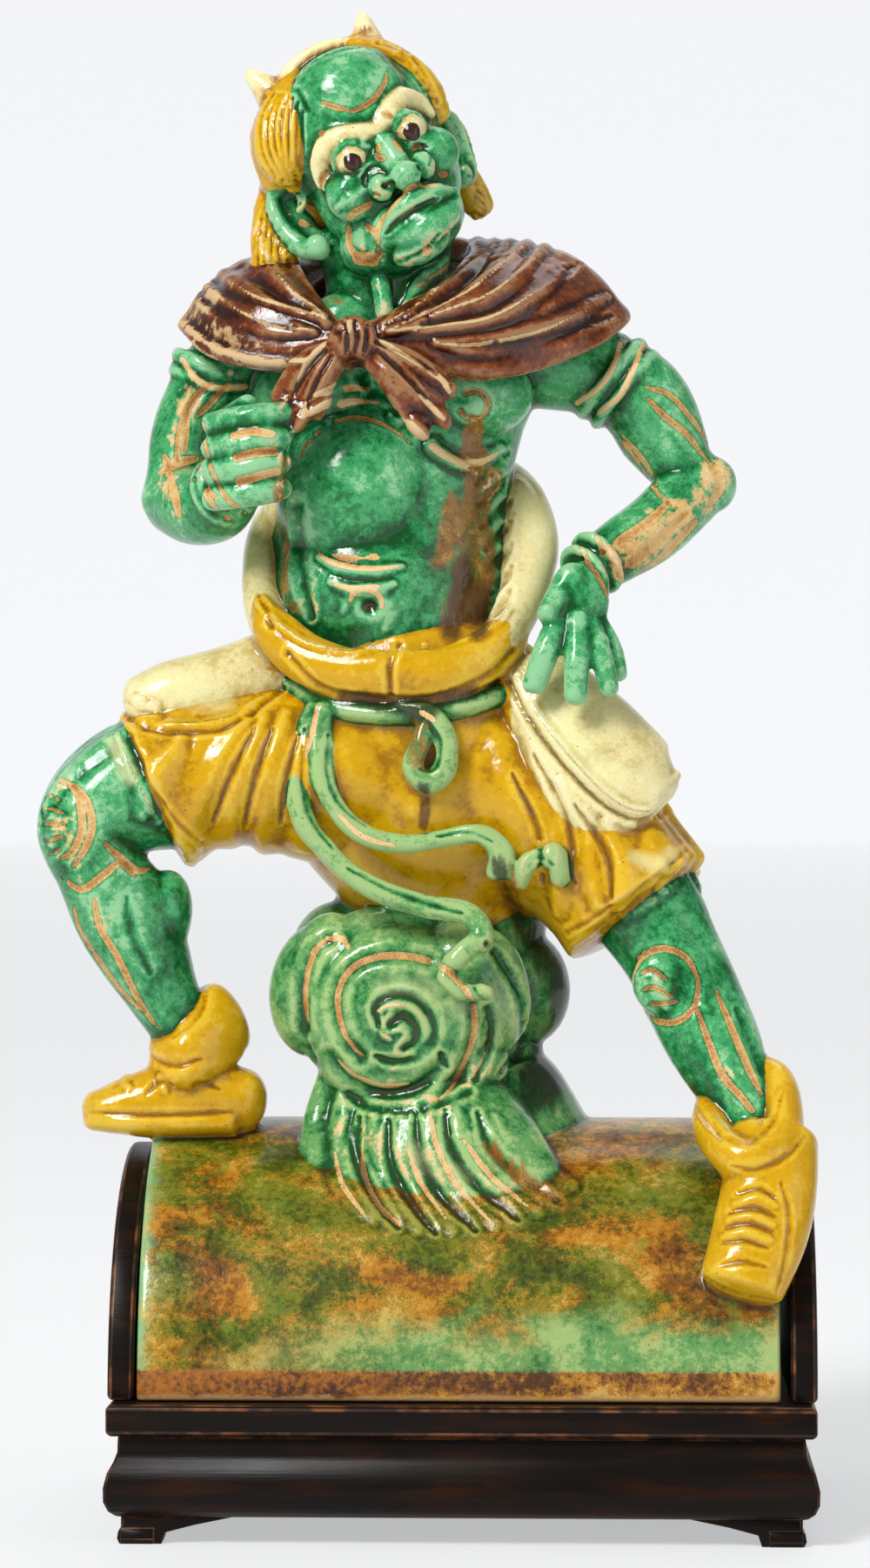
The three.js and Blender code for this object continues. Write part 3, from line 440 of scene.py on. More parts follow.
# Rings from neck to hem and back inside: a straight line between the two curves, swollen outwards
# by its length times a half sine.
def capeForm():
    t = np.linspace(0, 1, 220, endpoint=False)
    low, high = alongCurve(capeHem, t, True), alongCurve(capeNeck, t, True)
    outside, inside = np.linspace(0, 1, 16), 8
    share = np.concatenate([outside, [1.02, 1.0], np.linspace(0.95, 0.0, inside)])
    proud = np.concatenate([3 + 0 * outside, [0.5, -3], np.linspace(-4.5, -6, inside)])
    swell = np.concatenate([np.sin(math.pi * outside**0.9) * 0.21, [0, 0], np.zeros(inside)])
    length = np.linalg.norm(low - high, axis=1)
    chest = np.array([-30, 0, 440])  # the cape stands away from here
    point = high[:, None] + (low - high)[:, None] * share[None, :, None]
    away = unit(point - chest)
    edge = np.where((share > 0.93) & (proud > 0), 1.2, 0)  # the hem is a little rolled
    point = point + away * (proud[None] + edge[None] + swell[None] * length[:, None])[..., None]
    return point.reshape(-1, 3), gridFaces(len(t), len(share), True)


# The cape's knot with its four short ends, each finished with a rounded tip or two.
def knotForms():
    return [
        egg((-42, -58, 475), (10, 8, 9.5)),
        limb([[-48, -56, 472], [-60, -56, 464], [-68, -55, 449]], [[4, 4], [7, 5], [9, 4]], steps=40),
        limb([[-47, -57, 470], [-54, -58, 459], [-60, -57, 446]], [[4, 4], [6, 5], [7, 4]], steps=40),
        limb([[-36, -57, 472], [-22, -58, 466], [-8, -57, 457]], [[4, 4], [6, 5], [6, 4]], steps=40),
        limb([[-36, -57, 469], [-24, -60, 457], [-11, -58, 445]], [[4, 4], [7, 5], [9, 4]], steps=40),
        egg((-71, -57, 446), (4, 4, 6), (0, 20, 0), 16, 10),
        egg((-64, -59, 443), (4, 4, 6), sides=16, rows=10),
        egg((-15, -60, 441), (4, 4, 6), (0, -30, 0), 16, 10),
        egg((-7, -59, 444), (4, 4, 7), (0, -35, 0), 16, 10),
        egg((-4, -57, 455), (4, 4, 5), (0, -50, 0), 16, 10),
    ]



head = {"centre": (-38, -10, 553), "roll": -29, "yaw": 12, "pitch": -2}


# The head is drawn looking along -Y, then turned and tilted.
def headTurn():
    return turned((0, head["roll"], 0)) @ turned((0, 0, head["yaw"])) @ turned((head["pitch"], 0, 0))


def placed(form):
    points, faces = form
    return points @ headTurn().T + np.array(head["centre"], float), faces


# Skull, forehead, cheeks and jaw, then nose, lips and chin, then what each side has.
def headForms():
    both = (1, -1)
    flesh = [
        egg((0, 2, 12), (35, 37, 36), sides=60, rows=36),
        egg((1, -13, 25), (25, 22, 20), sides=48, rows=28),
        egg((2, -22, 21), (22, 14, 16)),
        egg((0, -9, -13), (31, 27, 30), sides=60, rows=36),
        egg((-4, -8, -33), (28, 23, 18), sides=48, rows=28),
        egg((-1, -26, -35), (20, 13, 13)),
        limb([[1, -33, -1], [1, -37, -11], [0.4, -39.5, -18]], [[4.5, 4], [5, 4.6], [5.4, 5.2]]),
        egg((0.4, -42, -19.8), (6.6, 6.4, 6)),
        limb([[-17, -29.5, -35], [-9, -36, -31.5], [-1, -38.8, -30], [8, -37, -31], [17, -31, -33.5]],
             [[2.4, 3], [4.4, 4.2], [4.8, 4.4], [4.4, 4.2], [2.4, 3]]),
        limb([[-16, -30, -38.5], [-8, -35.5, -41], [0, -38, -42], [8, -36.5, -41], [16, -31.5, -37.5]],
             [[2.4, 3], [5.4, 4.6], [6.6, 5.4], [5.4, 4.6], [2.4, 3]]),
        egg((-5, -28, -46), (13, 10, 7)),
    ]
    for s in both:
        flesh += [
            egg((s * 19, -25, -14), (11, 10, 11)),
            egg((s * 9.9, -37, -18.8), (4.9, 5.8, 5.8)),
            # the upper lid, a thick fold that runs over the eyeball
            limb([[s * 6.2, -33, -3.5], [s * 8.6, -34.8, 1.8], [s * 14, -35, 4.3], [s * 19.6, -31.6, 1.8],
                  [s * 21.6, -28.6, -3.5]],
                 [[1.1, 1.2], [1.4, 1.4], [1.4, 1.4], [1.4, 1.3], [1.1, 1.1]], steps=40, sides=16),
            # and the thinner lower lid
            limb([[s * 7, -33, -5.8], [s * 10, -34.6, -8.2], [s * 14.8, -34.2, -8.7], [s * 20, -30.8, -6]],
                 [[0.8, 1.0], [1.0, 1.1], [1.0, 1.1], [0.8, 1]], steps=40, sides=16),
        ]
    eyeApart, glance = 13.8, 0.9
    eyes = [egg((s * eyeApart, -30.4, -2.6), (6.5, 6.8, 6.2), sides=40, rows=24) for s in both]
    pupils = [egg((s * eyeApart - glance, -36.4, -4), (3.5, 1.5, 3.5), sides=24, rows=14) for s in both]
    brows = [
        limb([[2.4, -34, 2.6], [7, -34.6, 6.6], [14, -32.5, 10.2], [20, -28.8, 10.8], [25, -24.8, 6.6],
              [27.5, -22.6, 0]],
             [[2.6, 2], [3.6, 2.3], [4.2, 2.6], [4.2, 2.6], [3.4, 2.2], [1.8, 1.6]], (0.25, -1, 0)),
        limb([[2.4, -34, 2.6], [-6, -34.8, 5.6], [-14, -32.7, 8], [-20, -29.4, 7.6], [-25, -25.4, 2.6],
              [-27.4, -22.8, -5]],
             [[2.6, 2], [3.4, 2.3], [4, 2.6], [4.4, 2.6], [4.2, 2.4], [2.6, 1.8]], (-0.25, -1, 0)),
    ]
    hairs = [
        egg((0, 14, 6), (37, 30, 39), sides=60, rows=36),
        limb([[16, -6, 43], [26, -8, 32], [33, -8, 17], [34, -7, 2]], [[8, 6], [9, 7], [8, 7], [5, 5]],
             (1, -0.5, 0.4)),
        limb([[29, 14, 2], [32, 16, -12], [34, 16, -26], [35, 17, -36]],
             [[7, 7], [7.5, 8], [7.5, 7], [6, 6]]),
    ]
    horns = [limb([[s * 21.5, -3, 38], [s * 24, -4, 46], [s * 26, -4, 51.5], [s * 27, -4, 55]],
                  [[9.5, 9], [6, 6], [3.8, 3.8], [1.8, 1.8]], dome=0.7, steps=30) for s in both]
    headBand = [limb([[-22, -4, 40], [-11, -5.5, 46.5], [0, -6, 48.3], [11, -5.5, 46.5], [22, -4, 40]],
                     [[6, 3.5], [7, 3.5], [8, 3.5], [7, 3.5], [6, 3.5]], (0, 0, 1), steps=50)]
    groups = [("green", flesh), ("cream", eyes), ("pupil", pupils), ("brow", brows), ("amber", hairs),
              ("horn", horns + headBand)]
    return [(zone, placed(form)) for zone, forms in groups for form in forms]


# The combed lock over the temple and the tail below it, drawn where they hang.
def locks():
    return [
        limb([[-67, -18, 583], [-70, -24, 572], [-71.5, -27, 559], [-71, -27, 549], [-67.5, -24, 541]],
             [[8, 7], [12.5, 9], [13.5, 10], [11, 9], [3.5, 5]], (-0.5, -0.88, 0), steps=90, sides=56),
        limb([[-72, -8, 578], [-75, -10, 560], [-74, -10, 545]], [[9, 10], [12, 13], [9, 11]]),
        limb([[-74, -2, 548], [-79, -4, 534], [-79.5, -8, 520], [-76, -13, 509]],
             [[7, 8], [6.5, 8], [7.5, 8], [10, 8]], (-0.1, -1, 0), dome=0.3, steps=70),
    ]


# The ears are drawn where they sit: a long rolled rim that ends in a heavy lobe.
def earForms():
    return [
        limb([[-73, -16, 541], [-77, -15, 537], [-76, -16, 530], [-71, -18, 522], [-64, -21, 515.5],
              [-57.5, -24, 515]],
             [[2.4, 2.4], [3, 3], [3, 3.4], [3.4, 3.6], [4.6, 4.2], [4.4, 4]], steps=80, sides=24),
        limb([[-70, -12, 538], [-68, -13, 528], [-61, -15, 520]], [[4, 4], [6, 4], [5, 4]]),
        egg((-58, -24.5, 515.5), (5.2, 4.6, 5.8), (0, -25, 0)),
        limb([[-66, -24, 539], [-64.5, -25, 534], [-66, -24, 530]],
             [[2, 2], [2.4, 2.4], [1.6, 2]], steps=30, sides=16),
        limb([[-8, 2, 573], [-3, 2, 566], [0.5, 2, 557], [2, 1, 549], [-1, -2, 545]],
             [[4, 5], [4.5, 6], [4.2, 5], [4.4, 4.6], [3.6, 3.6]], steps=60, sides=24),
        egg((1.2, -1, 548), (4.6, 4.4, 5)),
    ]


# Everything with the glaze it carries.
def allForms():
    groups = [
        ("tile", [ridgeTile()]), ("cloud", cloudForms()), ("green", legForms()), ("amber", bootForms()),
        ("green", torsoForms()), ("green", neckForms()), ("cream", robeForms()), ("amber", frontRollForms()),
        ("amber", shortsForms()), ("cream", flapForms()), ("ribbon", sashForms()), ("green", armForms()),
        ("green", openHandForms()), ("brown", [capeForm()]), ("brown", knotForms()), ("green", earForms()),
        ("amber", locks()),
    ]
    return [(zone, form) for zone, forms in groups for form in forms] + headForms()


zoneNames = ["amber", "cream", "brown", "tile", "horn", "cloud", "pupil"]
thinned = {"brow": ("cream", 0.85), "ribbon": ("cloud", 0.75)}  # forms whose glaze lets the green through


# How much of each glaze a form carries; plain green is what is left.
def carried(zone):
    glazeName, amount = thinned.get(zone, (zone, 1))
    return [amount if name == glazeName else 0 for name in zoneNames]


def setAttribute(mesh, name, values):
    layer = mesh.attributes.get(name) or mesh.attributes.new(name, "FLOAT", "POINT")
    layer.data.foreach_set("value", np.ascontiguousarray(values, dtype=np.float32))


def getAttribute(mesh, name):
    values = np.zeros(len(mesh.vertices), np.float32)
    mesh.attributes[name].data.foreach_get("value", values)
    return values.astype(float)


# Every form goes into one mesh, which is then pressed into one skin of small even cells.
def pressTogether(forms):
    verts, faces, zones, start = [], [], [], 0
    for zone, (points, grids) in forms:
        verts.append(points)
        for grid in grids if isinstance(grids, list) else [grids]:  # the tile has ends as well
            faces += (grid + start).tolist()
        zones.append(np.tile(carried(zone), (len(points), 1)))
        start += len(points)
    where = np.vstack(verts) * mm + figureShift
    mesh = bpy.data.meshes.new("glazedFigure")
    mesh.from_pydata(where.tolist(), [], faces)
    weights = np.vstack(zones)
    for k, name in enumerate(zoneNames):
        setAttribute(mesh, name, weights[:, k])
    figure = newObject("glazed_figure", mesh)
    bpy.context.view_layer.objects.active = figure
    figure.select_set(True)
    mesh.remesh_voxel_size = clay["voxel"] * mm
    mesh.remesh_voxel_adaptivity = 0
    mesh.use_remesh_preserve_attributes = True
    mesh.use_remesh_fix_poles = False
    mesh.use_remesh_preserve_volume = False
    bpy.ops.object.voxel_remesh()
    return figure


figure = pressTogether(allForms())
skinMesh = figure.data
print("clay: pressed together,", len(skinMesh.vertices), "points")

carving = {
    "cell": 1.4,  # size of the squares in which the outermost skin of each side is kept
    "margin": 4,  # of plain squares round them
    "spacing": 1.5,  # between the points of a drawn line
    "seen": 0.05,  # how far skin has to face a side to be seen from it
    "reached": -0.15,  # how far it may turn away and still take a line
    "slack": 5,  # depth over which a line is cut in full
    "behind": 0.25,  # weight of the depth within that
    "ends": 0.4,  # width of a line at its ends
    "lipPlace": 2.1,  # half widths from a line to the soft lip beside it
    "lipWidth": 0.7,
}

points = np.zeros(len(skinMesh.vertices) * 3, np.float32)
skinMesh.vertices.foreach_get("co", points)
points = (points.reshape(-1, 3).astype(float) - figureShift) / mm
edges = np.zeros(len(skinMesh.edges) * 2, np.int32)
skinMesh.edges.foreach_get("vertices", edges)
edges = np.concatenate([edges.reshape(-1, 2), edges.reshape(-1, 2)[:, ::-1]])
meeting = np.bincount(edges[:, 0], minlength=len(points)).astype(float)


# Each value goes a share of the way to the mean of its neighbours, round after round.
def melted(values, rounds, share=0.6):
    v = values.reshape(len(values), -1).copy()
    for _ in range(rounds):
        for k in range(v.shape[1]):
            mean = np.bincount(edges[:, 0], v[edges[:, 1], k], len(v)) / meeting
            v[:, k] += share * (mean - v[:, k])
    return v.reshape(values.shape)


# Puts the worked points back into the mesh and reads its new normals.
def settle():
    skinMesh.vertices.foreach_set("co", (points * mm + figureShift).astype(np.float32).ravel())
    skinMesh.update()
    out = np.zeros(len(points) * 3, np.float32)
    skinMesh.vertex_normals.foreach_get("vector", out)
    return out.reshape(-1, 3).astype(float)


# Slow waves of several lengths, as a hand leaves them: sines of turned coordinates, added.
def handWaves(where, lengths, seed):
    pick = np.random.default_rng(seed)
    total = np.zeros(len(where))
    ways = 5
    for length in lengths:
        for _ in range(ways):
            way = unit(pick.normal(size=3))
            total += np.sin(where @ way * 2 * math.pi / length + pick.uniform(0, 6.28)) / ways
    return total / len(lengths)


points = melted(points, clay["blend"])
normals = settle()
zones = melted(np.stack([getAttribute(skinMesh, name) for name in zoneNames], 1), 2)
zone = {name: zones[:, k] for k, name in enumerate(zoneNames)}
# the brows' ivory fades into the green round them, but the eyes keep their edges
eyeCentres, eyeReach, browFade = ((-42, 550), (-19, 562)), 7, 24
offEyes = np.ones(len(points), bool)
for x, z in eyeCentres:
    offEyes &= np.hypot(points[:, 0] - x, points[:, 2] - z) > eyeReach
brows = offEyes & (points[:, 1] < -20) & (points[:, 2] > 543) & (points[:, 0] > -62)
zone["cream"][:] = np.where(brows, melted(zone["cream"], browFade), zone["cream"])
# behind the head band the whole skull is hair
onHead = (points - np.array(head["centre"])) @ headTurn()
hairBack = (onHead[:, 1] > 0) & (onHead[:, 2] > 14) & (zone["horn"] < 0.4) & (np.abs(onHead[:, 0]) < 44)
zone["amber"][:] = np.where(hairBack, 1, zone["amber"])
# the sash runs under the robe at the back, and the streams melt into the tile
underRobe = (points[:, 1] > 5) & (points[:, 2] > 300) & (points[:, 2] < 350)
zone["cream"][:] = np.where(underRobe, np.maximum(zone["cream"], zone["cloud"] * 1.3), zone["cream"])
zone["cloud"][:] = np.where(underRobe, 0, zone["cloud"])
meltTop, meltDepth, meltMost = 140, 20, 0.52
zone["tile"] += zone["cloud"] * np.clip((meltTop - points[:, 2]) / meltDepth, 0, meltMost)
# the robe is ivory all round, but its rolled front is amber
rolledFront = (points[:, 1] < -34) & (np.abs(points[:, 0] + 28) < 49) & (points[:, 2] < 362)
zone["amber"][:] = np.where(rolledFront, np.maximum(zone["amber"], zone["cream"]), zone["amber"])
zone["cream"][:] = np.where(rolledFront, 0, zone["cream"])
# the hand's waves, less of them on the tile, which was pressed in a mould
uneven = handWaves(points, clay["waves"], clay["seed"]) * (1 - 0.6 * zone["tile"])
points += normals * (clay["wobble"] * uneven)[:, None]
normals = settle()

lift = np.zeros(len(points))  # how far each point is raised or cut, along its normal
# of these fields, the last two hold painted shade and painted highlights
fields = {name: np.zeros(len(points)) for name in ("bare", "thin", "stain", "dark", "paintedHighlight")}
# each side's two axes across it, its axis of depth, and which way that looks
views = {"front": (0, 2, 1, -1), "back": (0, 2, 1, 1), "left": (1, 2, 0, -1), "right": (1, 2, 0, 1)}
depthMaps = {}
for view, (u, v, w, sign) in views.items():
    seen = sign * normals[:, w] > carving["seen"]
    flat = points[seen][:, [u, v]]
    low = flat.min(0) - carving["margin"]
    size = np.ceil((flat.max(0) + carving["margin"] - low) / carving["cell"]).astype(int) + 1
    at = ((flat - low) / carving["cell"]).astype(int)
    grid = np.full(size, -1e3)
    np.maximum.at(grid, (at[:, 0], at[:, 1]), sign * points[seen, w])
    depthMaps[view] = (grid, low)


# A line drawn on the skin as seen from one side: points along its curve, each at the outermost depth there.
def drawn(view, line):
    u, v, w, sign = views[view]
    grid, low = depthMaps[view]
    line = np.asarray(line, float)
    length = np.linalg.norm(np.diff(line, axis=0), axis=1).sum()
    flat = alongCurve(line, np.linspace(0, 1, max(5, int(length / carving["spacing"]))))
    at = np.clip(((flat - low) / carving["cell"]).astype(int), 1, np.array(grid.shape) - 2)
    near = np.max([grid[at[:, 0] + i, at[:, 1] + j] for i in (-1, 0, 1) for j in (-1, 0, 1)], 0)
    place = np.zeros((len(flat), 3))
    place[:, u], place[:, v], place[:, w] = flat[:, 0], flat[:, 1], sign * near
    return place


# The points near a line and how far off it each is, in half widths; a line narrows to its ends.
def beside(view, line, wide, reach, blunt):
    u, v, w, sign = views[view]
    place = drawn(view, line)
    far = wide * reach
    box = np.all((points > place.min(0) - far) & (points < place.max(0) + far), 1)
    near = np.flatnonzero(box & (sign * normals[:, w] > carving["reached"]))
    start, step = place[:-1], np.diff(place, axis=0)
    best = np.full(len(near), 1e9)
    share = np.zeros(len(near))
    for k in range(len(step)):
        off = points[near] - start[k]
        t = np.clip(off @ step[k] / max(step[k] @ step[k], 1e-6), 0, 1)
        gap = off - t[:, None] * step[k]
        deeper = np.maximum(np.abs(gap[:, w]) - carving["slack"], 0)
        gap[:, w] = carving["behind"] * gap[:, w] + np.sign(gap[:, w]) * deeper
        d = np.einsum("ij,ij->i", gap, gap)
        closer = d < best
        best = np.where(closer, d, best)
        share = np.where(closer, (k + t) / len(step), share)
    ends = carving["ends"]
    narrow = 1 if blunt else ends + (1 - ends) * np.sqrt(np.sin(math.pi * np.clip(share, 0.01, 0.99)))
    return near, np.sqrt(best) / (wide * narrow)


# Raises or cuts by height*exp(-q^2), q in half widths, less a lip's exp of its own; clay is bare where
# bare - q/2 is over a half.
def mark(view, height, wide, bare, lines, blunt=False, lip=0.3):
    for line in lines:
        near, q = beside(view, line, wide, 4, blunt)
        beyond = (q - carving["lipPlace"]) / carving["lipWidth"]
        lift[near] += height * (np.exp(-q**2) - lip * np.exp(-(beyond**2)))
        if bare:
            fields["bare"][near] = np.maximum(fields["bare"][near], np.clip(bare - 0.5 * q, 0, 1))


# Lays a field along lines: amount*exp(-q^2).
def paint(view, name, amount, wide, lines):
    for line in lines:
        near, q = beside(view, line, wide, 3, True)
        fields[name][near] = np.maximum(fields[name][near], amount * np.exp(-q**2))


# Presses a round hole, deep by depth*exp(-q^2.6), and paints shade into it.
def dent(view, x, z, radius, depth):
    near, q = beside(view, [[x - 0.4, z], [x + 0.4, z]], radius, 2.5, True)
    lift[near] -= depth * np.exp(-q**2.6)
    fields["dark"][near] = np.maximum(fields["dark"][near], np.exp(-(q**2)) * 0.9)


# An oval line, [across cos a, tall sin a] turned about its middle.
def ring(x, z, across, tall, turn=0):
    a = np.linspace(0, 2 * math.pi, 10)
    c, s = math.cos(math.radians(turn)), math.sin(math.radians(turn))
    u, v = across * np.cos(a), tall * np.sin(a)
    return np.stack([x + c * u - s * v, z + s * u + c * v], 1)


# the arms: raised bands, sinews left bare, bars between the knuckles
mark("front", 0.7, 1.3, 1.0, [
    [[-114, 478], [-108, 474], [-100, 467], [-89, 464]],
    [[-115, 471], [-108, 462], [-100, 459], [-89, 460]],
    [[66, 479], [63, 468], [57, 459], [48, 453]],
    [[75, 477], [70, 464], [65, 455], [57, 449]],
], blunt=True)
mark("front", -0.5, 1.35, 1.0, [
    [[-102, 461], [-109, 456], [-114, 447], [-116, 440], [-117, 429]],
    [[-106, 458], [-112, 451], [-113, 440], [-114, 432]],
    [[-96, 461], [-102, 454], [-109, 447]],
    [[-107, 431], [-104, 421], [-101, 412], [-96, 405], [-91, 402]],
    [[-111, 419], [-104, 419], [-101, 415], [-96, 410]],
    [[76, 459], [86, 456], [95, 447], [101, 439], [106, 429]],
    [[77, 454], [84, 447], [93, 440], [102, 429]],
    [[59, 442], [66, 437], [74, 426], [79, 418], [86, 410]],
    [[66, 440], [75, 429], [81, 418]],
])
mark("front", -0.4, 1.9, 1.1, [
    [[-122, 431], [-119, 421], [-116, 413], [-114, 404]],
    [[-124, 424], [-117, 428], [-109, 430]],
    [[86, 412], [77, 403], [66, 395], [57, 388]],
    [[93, 407], [82, 396], [72, 387], [63, 379]],
    [[97, 404], [89, 395], [81, 386], [70, 379]],
    [[103, 428], [107, 420], [103, 411]],
])
mark("front", -0.7, 1.1, 1.0, [
    [[-103, 441], [-101, 430], [-98, 420], [-92, 410], [-86, 405]],
    [[50, 392], [52, 386], [56, 381], [61, 372]],
    [[56, 396], [58, 390], [63, 383], [67, 376]],
], blunt=True)
mark("front", -0.5, 1.6, 1.05, [
    [[-89, 435.5], [-82, 437], [-74, 436]],
    [[-88, 426.5], [-80, 428.5], [-73, 429]],
    [[-87, 417], [-79, 419], [-72, 421]],
], blunt=True)
# the chest and belly
mark("front", 1.3, 2.3, 0, [
    [[-65, 438], [-59, 445], [-49, 450], [-38, 451], [-28, 448], [-18, 441], [-12, 435], [-3, 427], [6, 423]],
    [[-28, 446], [-17, 438], [-8, 431], [1, 427.5], [9, 429], [17, 434]],
])
mark("front", 0.0, 1.7, 1.0, [
    [[-61, 444], [-52, 449], [-44, 451.5], [-33, 451]],
    [[-27, 446], [-18, 440], [-9, 431.5], [1, 427], [9, 428], [15, 432]],
    [[-57, 452], [-51, 454], [-45, 457], [-35, 457]],
])
mark("front", -0.6, 1.2, 1.0, [[[-63, 433], [-55, 441], [-45, 445], [-35, 444], [-26, 440], [-19, 434]]])
mark("front", 1.1, 1.9, 0, [
    [[-57, 388], [-46, 383], [-35, 382], [-23, 384]],
    [[-52, 378], [-43, 375], [-32, 375], [-26, 377]],
])
mark("front", 0.0, 1.35, 1.0, [
    [[-57, 390], [-53, 386.5], [-45, 384], [-34, 383], [-24, 384]],
    [[-51, 389], [-45, 387.5], [-40, 387.5]],
    [[-37, 388], [-32, 388]],
    [[-50, 377], [-43, 375], [-32, 376]],
    [[-44, 369], [-42, 373.5], [-37, 375], [-32, 372], [-31, 367]],
])
mark("front", 0.5, 2.2, 0, [[[-47, 366], [-44, 372], [-37, 375], [-31, 372], [-27, 365], [-30, 359]]])
dent("front", -36, 367.5, 3.2, 4.0)
dent("front", -39, 395, 0.9, 0.8)
mark("front", -0.8, 1.1, 1.0, [ring(6, 450, 6, 6)], blunt=True)
mark("front", -1.2, 2.2, 0, [  # ribs
    [[7 + k * 1.2, 419 - 9 * k], [13 + k * 0.7, 424 - 9 * k], [20 + k * 0.1, 432 - 9.4 * k]] for k in range(7)
])
mark("front", 0.0, 1.3, 0.95, [
    [[18, 402], [22, 408]], [[17, 389], [22, 393]], [[16, 377], [21, 380]], [[12, 412], [19, 421]],
])
mark("front", -1.6, 2.6, 0, [[[-68, 428], [-66, 405], [-65, 385], [-60, 364]],
                             [[-52, 484], [-44, 470], [-38, 458]]])
mark("front", 0.6, 2.5, 0, [[[-9, 511], [-16, 501], [-22, 491]]])
paint("front", "stain", 0.6, 3, [
    [[-54, 497], [-48, 492]], [[-20, 494], [-14, 500], [-8, 505]], [[-33, 486], [-24, 487]],
])
# the cape's gathers run from the knot over the shoulders
capeGathers = [
    [[-82, 520], [-79, 512], [-70, 498], [-59, 489], [-52, 482]],
    [[-103, 513], [-94, 502], [-81, 493], [-62, 487], [-49, 480]],
    [[-108, 504], [-95, 492], [-76, 482], [-58, 479]],
    [[5, 530], [6, 520], [0, 506], [-13, 492], [-30, 481]],
    [[30, 527], [20, 511], [5, 496], [-13, 486], [-27, 479]],
    [[39, 526], [25, 506], [12, 494], [-9, 485]],
    [[43, 507], [29, 494], [12, 484], [-6, 481], [-30, 478]],
    [[61, 497], [43, 484], [26, 477], [5, 473], [-9, 474]],
]
mark("front", 1.3, 2.8, 0, capeGathers, lip=0.5)
mark("front", 0.0, 0.8, 1.0, capeGathers)
mark("front", -1.3, 2.2, 0, [  # and hollows between them
    [[-99, 517], [-88, 507], [-76, 497], [-60, 487]], [[-108, 496], [-88, 486], [-66, 480]],
    [[18, 529], [13, 515], [2, 500], [-16, 487]], [[50, 512], [30, 497], [10, 486], [-14, 481]],
    [[62, 488], [40, 479], [20, 474], [0, 473]],
])
mark("front", 0.8, 1.5, 0.85, [[[-116, 487], [-100, 474], [-80, 467], [-60, 466]]], blunt=True)
mark("front", -1.4, 1.0, 0, [
    [[-46, 482], [-44, 476], [-45, 468]], [[-41, 482], [-40, 475], [-41, 467]],
    [[-36, 480], [-36, 474], [-38, 468]],
    [[-52, 471], [-60, 463], [-66, 452]], [[-33, 471], [-22, 461], [-12, 450]],
    [[-34, 474], [-20, 468], [-8, 460]],
    [[-50, 468], [-56, 458], [-60, 450]],
])
mark("front", 0.5, 1.2, 1.0, [
    [[-51, 475], [-58, 468], [-64, 458]], [[-31, 474], [-21, 468], [-13, 463]],
    [[-12, 462], [-6, 458], [-3, 453]],
    [[-15, 452], [-10, 447], [-5, 442]], [[-68, 452], [-71, 446]], [[-61, 449], [-62, 443]],
    [[-43, 483], [-43, 477]],
])
mark("back", 0.9, 4.4, 0, [
    [[-50 - 9 * k, 516 - 2 * k], [-60 - 12 * k, 500 - 3 * k], [-66 - 13 * k, 484 - 2 * k]] for k in range(4)
] + [[[-30 + 14 * k, 519 - k], [-30 + 21 * k, 500], [-30 + 25 * k, 482]] for k in range(5)])
mark("right", 0.35, 4.0, 0, [[[y, 516], [y * 1.35, 504], [y * 1.6, 492]] for y in (-16, -2, 12, 26)])
mark("left", 0.35, 4.0, 0, [[[y, 514], [y * 1.35, 500], [y * 1.6, 486]] for y in (-16, -2, 12, 26)])
print("clay: body drawn")

# the face
mark("front", -0.55, 1.15, 1.0, [
    [[-56, 572.5], [-50, 570], [-45, 569]],
    [[-44, 568], [-39, 570], [-34, 574], [-30, 580], [-29, 587]],
    [[-52, 546], [-55.5, 542], [-56, 538]],
    [[-19, 551.5], [-18, 554], [-16, 554.5], [-13.5, 552]],
])
mark("front", -0.45, 1.3, 1.05, [
    [[-32, 554.5], [-33, 551]], [[-34, 549.5], [-29.5, 548.5]],
    [[-27, 558], [-24, 554], [-22.5, 551.5]],
    [[-11, 545], [-7, 543.5], [-3, 544.5]],
    [[-7, 539], [-3, 539.5], [-0.5, 537]],
    [[-31, 568], [-27, 566]], [[-57, 558], [-55, 561]],
])
# the folds that run from the nose round the mouth are left bare
mark("front", -0.5, 1.25, 1.1, [
    [[-33, 533], [-37, 529.5], [-43, 526], [-45, 522], [-45, 516], [-43, 511.5], [-39, 508.5], [-35, 508.5],
     [-32, 511]],
    [[-37, 522], [-34.5, 519.5]],
], blunt=True)
mark("front", -0.5, 1.05, 1.1, [
    [[-9, 538], [-16, 537], [-22, 534], [-26, 529.5], [-30, 525.5], [-32, 522], [-33, 517], [-32.5, 511]],
], blunt=True)
mark("front", -0.3, 2.3, 1.1, [[[-41, 509.5], [-35, 509]]], blunt=True)
mark("front", 0.9, 2.0, 0, [[[-40, 523], [-41, 518], [-39, 513.5]], [[-37, 537], [-42, 533], [-49, 529]]])
mark("front", -1.1, 0.9, 0, [
    [[-28, 544.5], [-33, 546], [-36.5, 544], [-38, 539.5], [-36, 534.5], [-31.5, 533]],
    [[-17, 549], [-18.5, 552.5], [-16, 555], [-13, 553.5], [-10.5, 549.5], [-11.5, 545.5]],
    [[-48, 545.5], [-44, 542.5], [-39, 543.5]],
    [[-31, 508], [-24, 507], [-14, 511], [-7, 518]],
])
mark("front", 1.0, 2.0, 0, [[[-38.5, 556.5], [-36, 554]]])
mark("front", -1.5, 1.1, 0, [[[-29, 518.5], [-24, 523], [-16, 528], [-8, 532.5]]])
mark("front", 0.0, 0.5, 1.0, [[[-27, 520], [-22, 524.5], [-15, 529]]])
mark("front", -0.3, 1.2, 1.0, [
    [[-7, 516], [-4, 518.5], [-1, 521]], [[-13, 502], [-6, 507], [-2, 513]],
    [[-57, 528], [-55, 525], [-53, 518], [-51, 513]],
])
